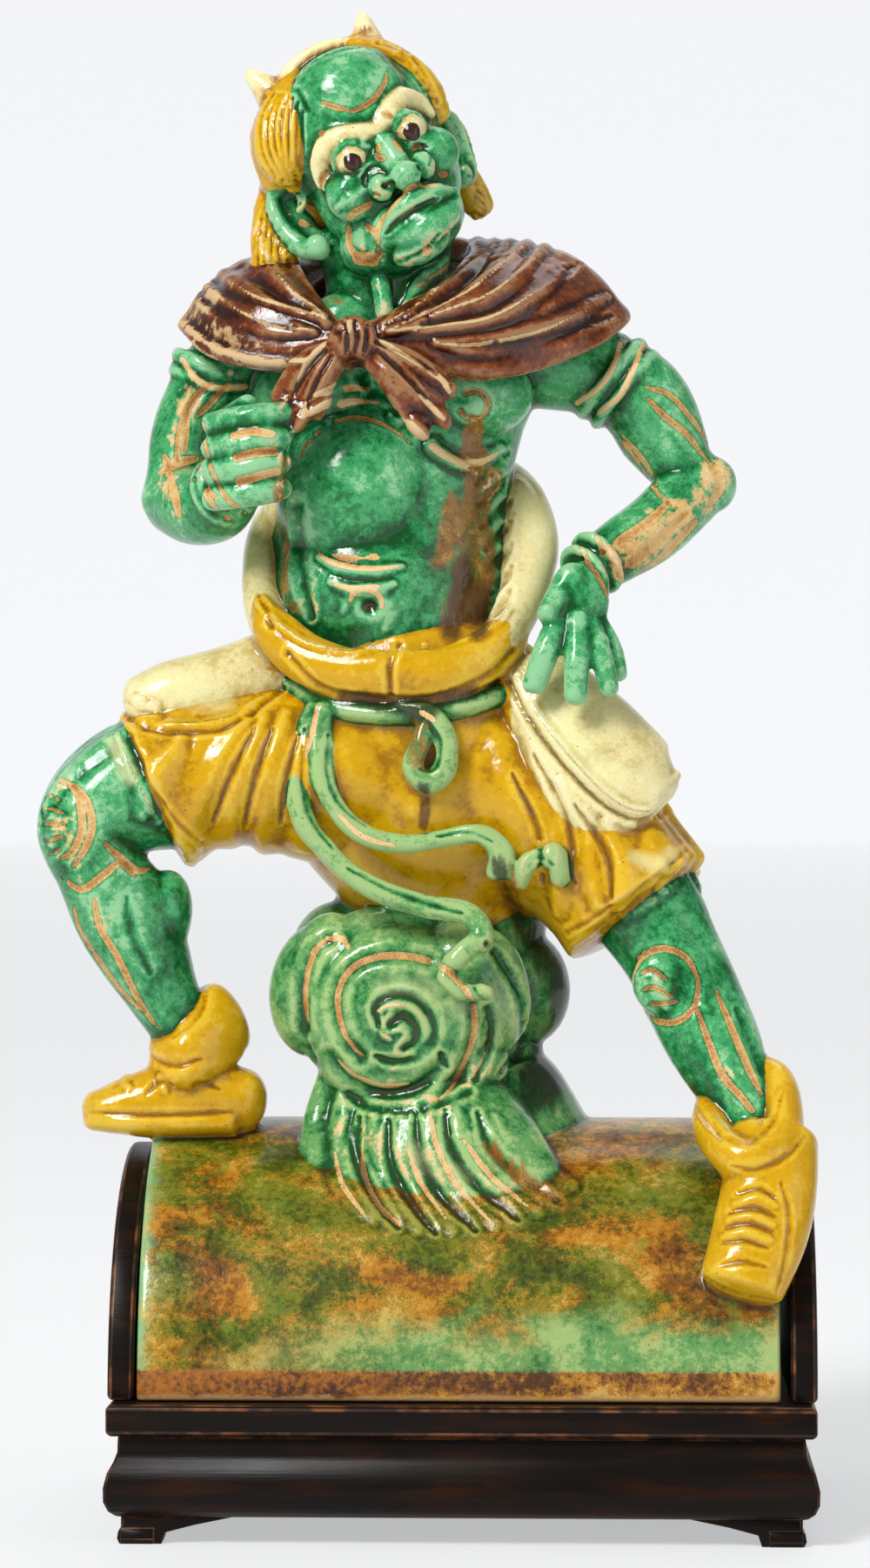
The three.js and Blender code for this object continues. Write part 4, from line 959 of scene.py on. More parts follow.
mark("front", -0.3, 1.5, 1.05, [[[-14, 510], [-11, 512]], [[-70, 530], [-66, 527], [-62, 525]],
                                [[-64, 534], [-61, 531]]])
dent("front", -28.3, 537, 2.0, 3.4)
dent("front", -14, 545, 1.5, 3.0)
dent("front", -66, 535, 2.4, 3.0)
# hair: strands that run together above the ear
mark("front", -1.0, 0.85, 0, [
    [[-79, 578], [-83, 571], [-84.5, 561], [-83, 551], [-78, 543]],
    [[-76, 578], [-80.5, 570], [-81.5, 561], [-80, 552], [-75, 543]],
    [[-74, 577], [-77.5, 569], [-78.5, 561], [-77, 552], [-72, 542]],
    [[-72, 577], [-75, 569], [-75.5, 561], [-74, 552], [-70, 542]],
    [[-70, 576], [-72, 569], [-72.5, 560], [-71.5, 551], [-68.5, 542]],
    [[-68, 575], [-69, 568], [-69.5, 559], [-69, 550], [-67, 542]],
    [[-66, 573], [-66, 566], [-66, 558], [-66, 550], [-66.5, 542]],
    [[-64, 569], [-64, 562], [-64, 554], [-64.5, 546]],
    [[-34, 600], [-26, 597], [-20, 591], [-15, 584], [-11, 576]],
    [[-31, 601], [-23, 597], [-17, 591], [-12.5, 583], [-9.5, 576]],
    [[-36, 598], [-29, 596], [-22, 591], [-17, 584], [-13, 577]],
    [[-80.5, 540], [-82, 529], [-83, 518], [-83, 508]], [[-80, 530], [-80.5, 518], [-80, 507]],
    [[-77.5, 523], [-77.5, 515], [-76.5, 506]], [[-75, 520], [-74.5, 513], [-73, 506]],
    [[-71, 514], [-69.5, 507]],
], blunt=True, lip=0.4)
mark("front", -0.7, 1.2, 0, [[[-66, 578], [-62, 570]], [[-85, 541], [-78, 540], [-70, 539.5], [-64, 541]]],
     blunt=True)
mark("front", -0.7, 0.7, 0, [[[3 + k, 547 - 3.4 * k], [7, 545.5 - 3.4 * k], [12, 541 - 3 * k]]
                             for k in range(6)])
# painted shade below the right ear lobe
paint("front", "dark", 0.6, 3.5, [[[5, 545], [8, 536], [10, 529]]])
mark("front", -0.9, 1.0, 0, [[[-68, 583], [-61, 590], [-50, 595], [-41, 597]]], blunt=True)
combApart = 0.72
backCombs = [[[-40 + 6.5 * k, 600 - abs(k) * 2.0], [-46 + 8.5 * k, 575], [-50 + 9 * k, 550],
              [-50 + 7.5 * k, 526]]
             for k in np.arange(-4.5, 5.5, combApart)]
sideCombs = [[[6 + 5.5 * k, 592 - abs(k) * 2.0], [6 + 6.5 * k, 572], [6 + 6 * k, 552], [8 + 4 * k, 532]]
             for k in np.arange(-1.5, 5, combApart)]
for view, combs in (("back", backCombs), ("right", sideCombs), ("left", sideCombs)):
    mark(view, -0.9, 1.0, 0, combs, lip=0.5)

# legs, boots and cloth
mark("front", -0.5, 1.6, 1.0, [
    [[-155, 296], [-149, 289], [-147, 279], [-150, 270], [-155, 263]],
    [[-164, 299], [-154, 293], [-151, 279], [-155, 269], [-160, 266]],
    [[-160, 258], [-155, 254], [-150, 254], [-142, 260], [-136, 264], [-131, 259]],
    [[-142, 272], [-136, 266], [-129, 261], [-121, 264]],
    [[-156, 247], [-155, 238], [-148, 226], [-137, 211], [-128, 203]],
    [[-147, 249], [-145, 238], [-138, 226], [-130, 208], [-123, 197]],
    ring(83, 215, 14, 15, 10),
    [[96, 206], [101, 192], [106, 180], [114, 171], [121, 162]],
    [[104, 213], [111, 196], [117, 182], [122, 172]],
    [[77, 196], [84, 182], [96, 165], [105, 156]],
])
mark("front", -0.6, 1.0, 1.0, [
    [[-170, 290], [-165, 291], [-160, 289]], [[-171, 284.5], [-165, 286], [-159, 284]],
    [[-172, 279], [-165, 280], [-158, 279.5]], [[-170, 273], [-164, 273.5], [-159, 275]],
    [[-168, 267], [-163, 268], [-160, 270]],
    [[73, 219.5], [78, 221.5], [84, 217.5]], [[74, 213], [79, 214.5], [86, 211]],
    [[76, 207], [82, 208], [89, 209]],
])
mark("front", 1.0, 3.0, 0, [[[-166, 286], [-163, 280], [-164, 272]], [[80, 218], [82, 212], [84, 206]]])
mark("front", -0.8, 2.0, 0, [[[-134, 250], [-132, 236], [-125, 220]], [[112, 206], [118, 192], [122, 180]]])
mark("front", -0.8, 1.1, 0, [  # folds in the boots
    [[-128, 187], [-121, 183], [-113, 182], [-104, 185]],
    [[-103, 213], [-104, 205], [-108, 199], [-116, 193]],
    [[-141, 172], [-137, 176], [-132, 174]], [[-127, 170], [-122, 175], [-116, 174]],
    [[-110, 172], [-104, 175], [-97, 172]],
    [[-150, 163], [-135, 162], [-115, 162], [-92, 163]],
    [[110, 135], [119, 137.5], [126, 134]], [[108, 128], [117, 130], [126, 127]],
    [[106, 122], [115, 124.5], [125, 121]],
    [[104, 116], [113, 118], [123, 115]], [[104, 108], [112, 110], [122, 108]],
    [[96, 104], [109, 97], [127, 94]], [[101, 165], [105, 158], [115, 155], [125, 162], [130, 174]],
    [[109, 146], [119, 145], [131, 150], [138, 157]], [[128, 140], [131, 128], [130, 112], [126, 98]],
])
mark("front", 0.8, 1.6, 0, [
    [[110, 131.5], [119, 134], [126, 131]], [[107, 125], [116, 127], [125, 124]],
    [[105, 119], [114, 121], [124, 118]],
    [[-138, 179], [-134, 172]], [[-122, 178], [-119, 171]],
])
mark("front", 1.5, 4.2, 0, [  # the shorts' folds fall from the belt and the hips
    [[-86, 322], [-98, 300], [-108, 276], [-108, 262]], [[-79, 322], [-87, 298], [-93, 276], [-95, 258]],
    [[-70, 324], [-76, 300], [-80, 276], [-82, 256]], [[-112, 314], [-122, 298], [-127, 284]],
    [[28, 318], [37, 292], [40, 266], [40, 244]], [[42, 296], [52, 272], [56, 248]],
    [[60, 280], [67, 262], [66, 246]], [[77, 276], [84, 262]],
], lip=0.35)
mark("front", 1.0, 6.0, 0, [
    [[-60, 320], [-64, 296], [-64, 270]], [[14, 318], [22, 290], [26, 256]],
    [[-50, 312], [-36, 296], [-20, 288]],
    [[8, 306], [-4, 292], [-18, 284]],
], lip=0.3)
mark("front", -1.3, 1.3, 0, [
    [[-82, 318], [-91, 300], [-99, 280]], [[-75, 318], [-81, 300], [-87, 278]],
    [[-64, 316], [-69, 298], [-72, 280]],
    [[31, 308], [44, 282], [47, 256]], [[47, 288], [60, 268], [62, 250]], [[22, 300], [32, 278], [34, 256]],
])
mark("front", 0.9, 1.7, 0.62, [  # hems
    [[-138, 316], [-129, 297], [-119, 279], [-106, 266]], [[98, 267], [82, 252], [61, 239], [45, 230]],
])
mark("front", -1.0, 1.1, 0, [
    [[-134, 318], [-125, 299], [-115, 283], [-102, 270]], [[94, 271], [78, 257], [58, 244], [44, 236]],
], blunt=True)
mark("front", -1.3, 1.2, 0, [  # edges of the flaps and of the rolled front
    [[-138, 325], [-127, 319], [-111, 317], [-93, 319], [-80, 328], [-72, 335]],
    [[20, 339], [29, 321], [43, 303], [61, 286], [75, 281], [86, 287], [89, 297]],
    [[-82, 373], [-78, 366], [-76, 360]], [[-24, 352], [-27, 343], [-27, 332]],
    [[-69, 349], [-55, 335], [-34, 331], [-9, 331], [12, 340], [22, 350]],
], blunt=True)
mark("front", 1.0, 1.4, 0.68, [[[-83, 370], [-73, 361], [-61, 353], [-45, 349.5], [-31, 351]],
                               [[-18, 351.5], [1, 355], [15, 361], [21, 368]]])
mark("front", 0.8, 1.6, 0.6, [
    [[-138, 329], [-127, 322.5], [-111, 320.5], [-93, 323], [-80, 331]],
    [[24, 340], [33, 323], [46, 306], [62, 290], [75, 285], [84, 290]],
])
mark("back", 1.8, 4.0, 0, [[[x, 334], [x * 1.25 - 2, 305], [x * 1.4 - 4, 268]]
                           for x in (-60, -44, -28, -12, 4, 20, 34, 48)])
mark("left", 1.4, 3.2, 0, [[[y, 330], [y * 1.2, 308], [y * 1.2, 286]] for y in (-42, -26, -8, 10)])
mark("right", 1.4, 3.2, 0, [[[y, 300], [y * 1.2, 276], [y * 1.25, 254]] for y in (-42, -26, -8, 10)])
# the ribbons: a midrib and a curled end
mark("front", -0.8, 1.2, 0, [
    [[-62, 318], [-63, 300], [-60, 284], [-50, 270]], [[-44, 262], [-28, 254], [-12, 248], [2, 244]],
    [[-52, 316], [-52, 300], [-47, 288], [-36, 279]], [[-8, 275], [4, 277], [14, 273]],
    [[-12, 321], [-7, 313], [-9, 303], [-15, 302]], [[27, 261], [32, 267], [39, 264]],
])
mark("front", 0.0, 1.2, 1.0, [[[-57, 328], [-58, 318], [-61, 306]], [[-48, 284], [-38, 275], [-25, 271]],
                              [[-15, 325], [-8, 321]]])

# the cloud: a rolled spiral between two lobes, with streams running down on to the tile
spiral = [[-39, 186], [-46, 195], [-49, 209], [-45, 220], [-35, 226], [-21, 227], [-7, 223], [3, 215],
          [7, 203], [6, 191], [1, 179], [-7, 170]]
mark("front", -1.7, 2.4, 0, [spiral, [[-52, 186], [-45, 177], [-31, 171], [-18, 173], [-8, 181]],
                             [[-52, 233], [-59, 228], [-63, 215], [-63, 197]]], blunt=True, lip=0.25)
mark("front", 0.5, 1.4, 1.05, [spiral, [[-49, 184], [-42, 178], [-31, 174], [-20, 175]]], lip=0)
mark("front", 0.4, 1.4, 1.0, [[[-53, 234], [-59, 228], [-62.5, 215], [-62.5, 199]],
                              [[-53, 234], [-47, 233], [-44, 229]]])
mark("front", -1.8, 2.0, 0, [
    [[-32, 199], [-33, 206], [-27, 211], [-18, 210], [-12, 204], [-10, 195], [-16, 187], [-25, 184],
     [-33, 186]],
    [[-7, 187], [-4, 182]], [[12, 232], [19, 222], [26, 208], [25, 189], [17, 178]],
    [[7, 216], [12, 205], [12, 191], [6, 175]],
], lip=0.2)
mark("front", -2.6, 2.6, 0, [[[-27, 199], [-22, 202], [-17, 198], [-17, 192], [-22, 189]]])
mark("front", 0.8, 1.2, 0.8, [[[-33, 204], [-28, 207], [-22, 207]], [[-31, 196], [-27, 193]],
                              [[12, 200], [11, 188], [6, 177]]])
mark("front", -1.5, 1.6, 0, [[[-45, 170], [-36, 166], [-22, 165], [-8, 167], [4, 172]]], blunt=True)
streams = [
    [[-46, 161], [-49, 147], [-43, 134], [-32, 123]], [[-34, 162], [-33, 147], [-26, 133], [-15, 119]],
    [[-23, 162], [-22, 147], [-15, 133], [-1, 119]], [[-11, 165], [-9, 151], [-1, 136], [16, 121]],
    [[0, 164], [5, 151], [16, 137], [33, 126]], [[15, 162], [22, 151], [36, 140], [47, 136]],
]
mark("front", 0.6, 3.0, 0, streams, lip=0.5)
mark("front", 0.0, 1.25, 1.0, [[[-38, 155], [-38, 142], [-31, 129], [-22, 121]],
                               [[-20, 150], [-14, 136], [-3, 122]],
                               [[-11, 165], [-8, 151], [0, 136], [16, 120]], [[3, 153], [14, 139], [28, 128]],
                               [[-50, 150], [-46, 136], [-36, 124]]])
mark("front", -1.4, 1.8, 0, [[[-40, 161], [-41, 147], [-34, 133], [-23, 120]],
                             [[-28, 161], [-27, 146], [-20, 132], [-8, 118]],
                             [[-17, 164], [-15, 149], [-8, 134], [8, 119]],
                             [[-5, 165], [-2, 150], [8, 136], [25, 123]],
                             [[8, 164], [14, 150], [27, 138], [42, 129]]])
mark("back", 0.9, 6.0, 0, [[[-50 + 16 * k, 424], [-54 + 17 * k, 388], [-52 + 17 * k, 350]] for k in range(5)])
mark("back", -1.6, 2.4, 0, [ring(-12, 206, 12, 11), ring(-12, 206, 27, 22)])

# where the glazes ran, wore thin or failed, then painted shade in creases and under overhangs and painted
# highlights on raised parts
paint("front", "thin", 0.75, 12, [[[96, 412], [84, 402], [66, 388]], [[106, 424], [98, 410]]])
paint("front", "thin", 0.6, 9, [[[-123, 428], [-118, 414], [-112, 405]], [[-112, 458], [-116, 444]]])
paint("front", "thin", 0.7, 10, [[[-108, 510], [-98, 518], [-86, 522]],
                                 [[-116, 492], [-108, 484], [-92, 474], [-72, 469]]])
paint("left", "thin", 0.75, 16, [[[-20, 494], [0, 492], [20, 490]]])
paint("front", "thin", 0.45, 14, [[[-150, 262], [-146, 245]], [[-158, 294], [-156, 268]],
                                  [[92, 190], [106, 172]]])
paint("front", "thin", 0.55, 7, [[[-70, 430], [-66, 404], [-64, 384], [-58, 364]],
                                 [[1, 432], [10, 426], [14, 416]]])
paint("front", "thin", 0.5, 9, [[[-40, 512], [-20, 506], [-4, 520]], [[-38, 498], [-24, 492], [-12, 500]]])
paint("front", "thin", 0.5, 12, [[[-30, 176], [-6, 170], [10, 178]],
                                 [[-52, 160], [-30, 148], [-4, 140], [20, 132]]])
paint("front", "stain", 1.0, 4.5, [
    [[7, 443], [5, 436], [9, 428]], [[3, 430], [6, 417], [0, 402], [3, 386], [-3, 366]],
    [[15, 422], [9, 406], [13, 390], [8, 368]],
    [[-2, 410], [-5, 397], [-8, 386]], [[7, 412], [6, 396], [4, 376], [5, 362]],
])
paint("front", "stain", 0.8, 3.5, [[[-67, 428], [-71, 407], [-71, 376], [-62, 359]],
                                   [[-60, 440], [-66, 425]]])
# painted shade: on the belly's turned-away flank, under the robe's roll and the sash knot, between the legs
# and beside the cloud under the right leg
paint("front", "dark", 1.0, 6.5, [[[2, 386], [0, 372], [-3, 358]], [[8, 374], [8, 358]],
                                  [[-20, 327], [-13, 325]]])
paint("front", "dark", 1.0, 3.6, [[[-13.5, 295], [-13, 286], [-14, 278]], [[-37, 331], [-33, 327]]])
paint("front", "dark", 0.9, 5, [[[16, 264], [20, 252], [24, 240]], [[-46, 331], [-20, 328], [6, 333]]])
paint("front", "dark", 1.0, 13, [[[34, 232], [44, 214], [44, 190], [32, 172]]])
paint("right", "dark", 0.9, 22, [[[0, 226], [10, 204], [4, 180]]])
paint("front", "stain", 0.7, 6, [[[-16, 322], [-14, 306]], [[21, 262], [25, 246]],
                                 [[14, 150], [26, 138], [44, 128]]])
# painted highlights along the crests of the flaps, the hems and the cloud's lobes
paint("front", "paintedHighlight", 0.8, 9, [[[-128, 340], [-112, 334], [-96, 330]], [[40, 322], [54, 306], [66, 298]]])
paint("front", "paintedHighlight", 0.9, 5, [[[-139, 313], [-132, 299]], [[72, 266], [80, 264], [86, 268]]])
paint("front", "paintedHighlight", 0.6, 8, [[[-30, 216], [-12, 214], [0, 204]], [[-20, 150], [2, 138]],
                                [[16, 214], [20, 200]]])
paint("front", "stain", 0.8, 2.6, [[[-87, 580], [-84, 579]], [[-40, 606], [-38, 606.5]],
                                   [[-43, 603], [-34, 602]]])
paint("front", "stain", 0.55, 9, [[[-92, 336], [-82, 340]], [[-146, 166], [-140, 168]]])
print("clay: face, cloth and cloud drawn")

points += normals * lift[:, None]
points = melted(points, 1, clay["soften"])
normals = settle()
# how far the skin lies below what is round it, near by and further off: a half is flat
for name, rounds, strength in (("cavity", 5, 1.1), ("hollow", 26, 0.35)):
    below = np.einsum("ij,ij->i", melted(points, rounds) - points, normals)
    fields[name] = np.clip(0.5 + strength * below, 0, 1)
for k, name in enumerate(zoneNames):
    setAttribute(skinMesh, name, zones[:, k])
for name, values in fields.items():
    setAttribute(skinMesh, name, values)

# where the mesh stays fine: at the edges of bare lines, at the face, and where two glazes meet
keepFine = {"factor": 3e-5, "steps": 12, "face": (-30, -30, 550), "faceReach": 45, "faceShare": 0.5,
            "meetingShare": 0.3, "backShare": 0.3, "backFrom": 5}
toFace = points - np.array(keepFine["face"])
detail = np.clip(1.6 - 4 * np.abs(fields["bare"] - 0.5), 0, 1) * (fields["bare"] > 0.1)
detail = np.maximum(detail, keepFine["faceShare"] * np.exp(-(toFace**2).sum(1) / keepFine["faceReach"] ** 2))
detail = np.maximum(detail, keepFine["meetingShare"] * (np.abs(zones - 0.5).min(1) < 0.2))
detail = detail * np.where(points[:, 1] < keepFine["backFrom"], 1, keepFine["backShare"])
steps = keepFine["steps"]
level = np.round(np.clip(detail, 0, 1) * steps).astype(int)
plainSkin = figure.vertex_groups.new(name="plain")
for k in range(steps + 1):
    plainSkin.add(np.flatnonzero(level == k).tolist(), 1 - k / steps, "REPLACE")
slim = figure.modifiers.new("slim", "DECIMATE")
slim.ratio = clay["faces"] / (2 * len(skinMesh.polygons))
slim.vertex_group = "plain"
slim.vertex_group_factor = keepFine["factor"]
slim.use_collapse_triangulate = True
bpy.ops.object.modifier_apply(modifier="slim")
figure.vertex_groups.clear()
skinMesh = figure.data
skinMesh.polygons.foreach_set("use_smooth", np.ones(len(skinMesh.polygons), bool))
print("clay: finished,", len(skinMesh.polygons), "faces")


# A number or colour that varies over a surface, as a node's socket.
class Value:
    def __init__(self, shade, socket):
        self.shade = shade
        self.socket = socket

    def worked(self, operation, *values, clamp=False):
        settings = {"operation": operation, "use_clamp": clamp}
        node = self.shade.node("ShaderNodeMath", settings, dict(enumerate(values)))
        return Value(self.shade, node.outputs[0])

    def __add__(self, other):
        return self.worked("ADD", self, other)

    __radd__ = __add__

    def __sub__(self, other):
        return self.worked("SUBTRACT", self, other)

    def __rsub__(self, other):
        return self.worked("SUBTRACT", other, self)

    def __mul__(self, other):
        return self.worked("MULTIPLY", self, other)

    __rmul__ = __mul__

    # the larger of the two
    def most(self, other):
        return self.worked("MAXIMUM", self, other)

    # kept between 0 and 1
    def held(self):
        return self.worked("ADD", self, 0, clamp=True)


# A material and the nodes that make it.
class Shade:
    def __init__(self, name):
        self.material = bpy.data.materials.new(name)
        self.material.use_nodes = True
        self.tree = self.material.node_tree
        self.surface = self.tree.nodes["Principled BSDF"]
        self.where = self.node("ShaderNodeTexCoord").outputs["Object"]

    def node(self, kind, settings=None, inputs=None):
        node = self.tree.nodes.new(kind)
        for key, value in (settings or {}).items():
            setattr(node, key, value)
        for key, value in (inputs or {}).items():
            self.feed(node.inputs[key], value)
        return node

    def feed(self, socket, value):
        if isinstance(value, Value):
            self.tree.links.new(value.socket, socket)
        elif isinstance(value, bpy.types.NodeSocket):
            self.tree.links.new(value, socket)
        else:
            socket.default_value = value

    def field(self, name):
        return Value(self, self.node("ShaderNodeAttribute", {"attribute_name": name}).outputs["Fac"])

    # noise between 0 and 1; size is that of its patches in millimetres
    def noise(self, size, detail=3, rough=0.55, stretch=(1, 1, 1), twist=0.0):
        place = self.node("ShaderNodeMapping", {}, {"Vector": self.where, "Scale": stretch}).outputs[0]
        inputs = {"Vector": place, "Scale": 1 / (size * mm), "Detail": detail, "Roughness": rough,
                  "Distortion": twist}
        return Value(self, self.node("ShaderNodeTexNoise", {}, inputs).outputs[0])

    # 1 in round specks of the given spacing, 0 between them
    def specks(self, size, wide):
        node = self.node("ShaderNodeTexVoronoi", {}, {"Vector": self.where, "Scale": 1 / (size * mm)})
        return self.step(Value(self, node.outputs["Distance"]), wide, wide * 0.5)

    # 1 on the lines between cells, as crackle
    def cracks(self, size, wide):
        node = self.node("ShaderNodeTexVoronoi", {"feature": "DISTANCE_TO_EDGE"},
                         {"Vector": self.where, "Scale": 1 / (size * mm)})
        return self.step(Value(self, node.outputs["Distance"]), wide, 0)

    # 0 below low, 1 above high, smooth between; low may lie above high
    def step(self, value, low, high):
        node = self.node("ShaderNodeMapRange", {"interpolation_type": "SMOOTHSTEP"},
                         {"Value": value, "From Min": low, "From Max": high})
        return Value(self, node.outputs[0])

    # from one colour at a share of 0 to the other at 1, whose sockets are the mix's 6th and 7th
    def mix(self, share, one, two):
        inputs = {0: share, 6: self.tint(one), 7: self.tint(two)}
        return Value(self, self.node("ShaderNodeMix", {"data_type": "RGBA"}, inputs).outputs[2])

    def tint(self, colour):
        return colour if isinstance(colour, Value) else (*colour, 1)

    # the place along an axis, in metres
    def along(self, axis):
        node = self.node("ShaderNodeSeparateXYZ", {}, {0: self.where})
        return Value(self, node.outputs[axis])

    # constants go to the surface's other sockets; bump is a height from 0 to 1 and its depth in millimetres
    def finish(self, colour, rough, constants, bump=None):
        self.feed(self.surface.inputs["Base Color"], self.tint(colour))
        self.feed(self.surface.inputs["Roughness"], rough)
        if bump:
            height, deep = bump
            node = self.node("ShaderNodeBump", {}, {"Height": height, "Distance": deep * mm, "Strength": 1.0})
            self.feed(self.surface.inputs["Normal"], node.outputs[0])
        for name, value in constants.items():
            self.surface.inputs[name].default_value = value
        return self.material


# each glaze from where it pools to where it runs thin, then the colours of single marks
glaze = {
    "green": [(0.003, 0.065, 0.013), (0.012, 0.18, 0.050), (0.052, 0.34, 0.12), (0.25, 0.55, 0.28)],
    "cloud": [(0.006, 0.070, 0.014), (0.030, 0.19, 0.052), (0.13, 0.33, 0.105), (0.33, 0.50, 0.19)],
    "amber": [(0.10, 0.034, 0.001), (0.34, 0.155, 0.002), (0.60, 0.33, 0.003), (0.80, 0.56, 0.05)],
    "cream": [(0.26, 0.17, 0.035), (0.58, 0.46, 0.17), (0.76, 0.67, 0.33), (0.84, 0.79, 0.48)],
    "brown": [(0.026, 0.006, 0.003), (0.095, 0.022, 0.007), (0.20, 0.052, 0.012), (0.42, 0.27, 0.13)],
    "bare": [(0.28, 0.11, 0.022), (0.52, 0.27, 0.075), (0.68, 0.44, 0.17), (0.76, 0.60, 0.34)],
    "olive": [(0.024, 0.032, 0.002), (0.065, 0.085, 0.004), (0.16, 0.165, 0.012), (0.30, 0.28, 0.05)],
    "clayOrange": [(0.07, 0.022, 0.002), (0.22, 0.080, 0.006), (0.44, 0.19, 0.014), (0.60, 0.36, 0.08)],
    "horn": [(0.30, 0.14, 0.035), (0.60, 0.40, 0.15), (0.80, 0.64, 0.30), (0.88, 0.78, 0.43)],
    "stain": (0.30, 0.115, 0.010),
    "stainDark": (0.15, 0.055, 0.006),
    "stainPale": (0.52, 0.26, 0.05),
    # darker copies of the glazes, for painted shade
    "darkened": (0.055, 0.022, 0.008),
    "paintedShadeWarm": (0.13, 0.055, 0.012),
    "paintedShadeGreen": (0.014, 0.022, 0.007),
    "paintedShadeAmber": (0.19, 0.082, 0.004),
    "pupil": (0.040, 0.014, 0.010),
    "crackle": (0.45, 0.36, 0.17),
    "lime": (0.10, 0.20, 0.022),
    "tileRim": (0.19, 0.52, 0.27),
    "tileChip": (0.46, 0.27, 0.12),
    # a pale yellow for painted highlights
    "paintedHighlight": (0.80, 0.80, 0.42),
    "rim": (0.02, 0.09, 0.03),
    "speck": (0.03, 0.02, 0.01),
    # near black, for the deepest creases
    "creaseDark": (0.05, 0.035, 0.012),
    "scorch": [(0.060, 0.018, 0.003), (0.38, 0.125, 0.008)],
    "underBrown": [(0.20, 0.105, 0.04), (0.56, 0.38, 0.20)],  # clay that shows through the aubergine
}
# millimetres from patch to patch
patches = {"slow": 24, "patch": 9, "fine": 2.6, "grain": 0.7, "drift": 30, "lime": 17, "streak": 7,
           "crackle": 3.4, "specks": 4.2, "speckGroups": 8}
# metres: the tile's thick turquoise band, its pale end, its bare strip and the chips below that
tileLines = {"bandLow": 0.076, "bandHigh": 0.094, "end": -0.105, "strip": 0.0665, "chip": 0.0565}


# A glaze by its thickness: pooled and dark at 0, running thin and pale at 1.
def ramped(shade, colours, level):
    first = shade.mix(shade.step(level, 0.05, 0.40), colours[0], colours[1])
    second = shade.mix(shade.step(level, 0.36, 0.64), first, colours[2])
    return shade.mix(shade.step(level, 0.66, 0.98), second, colours[3])
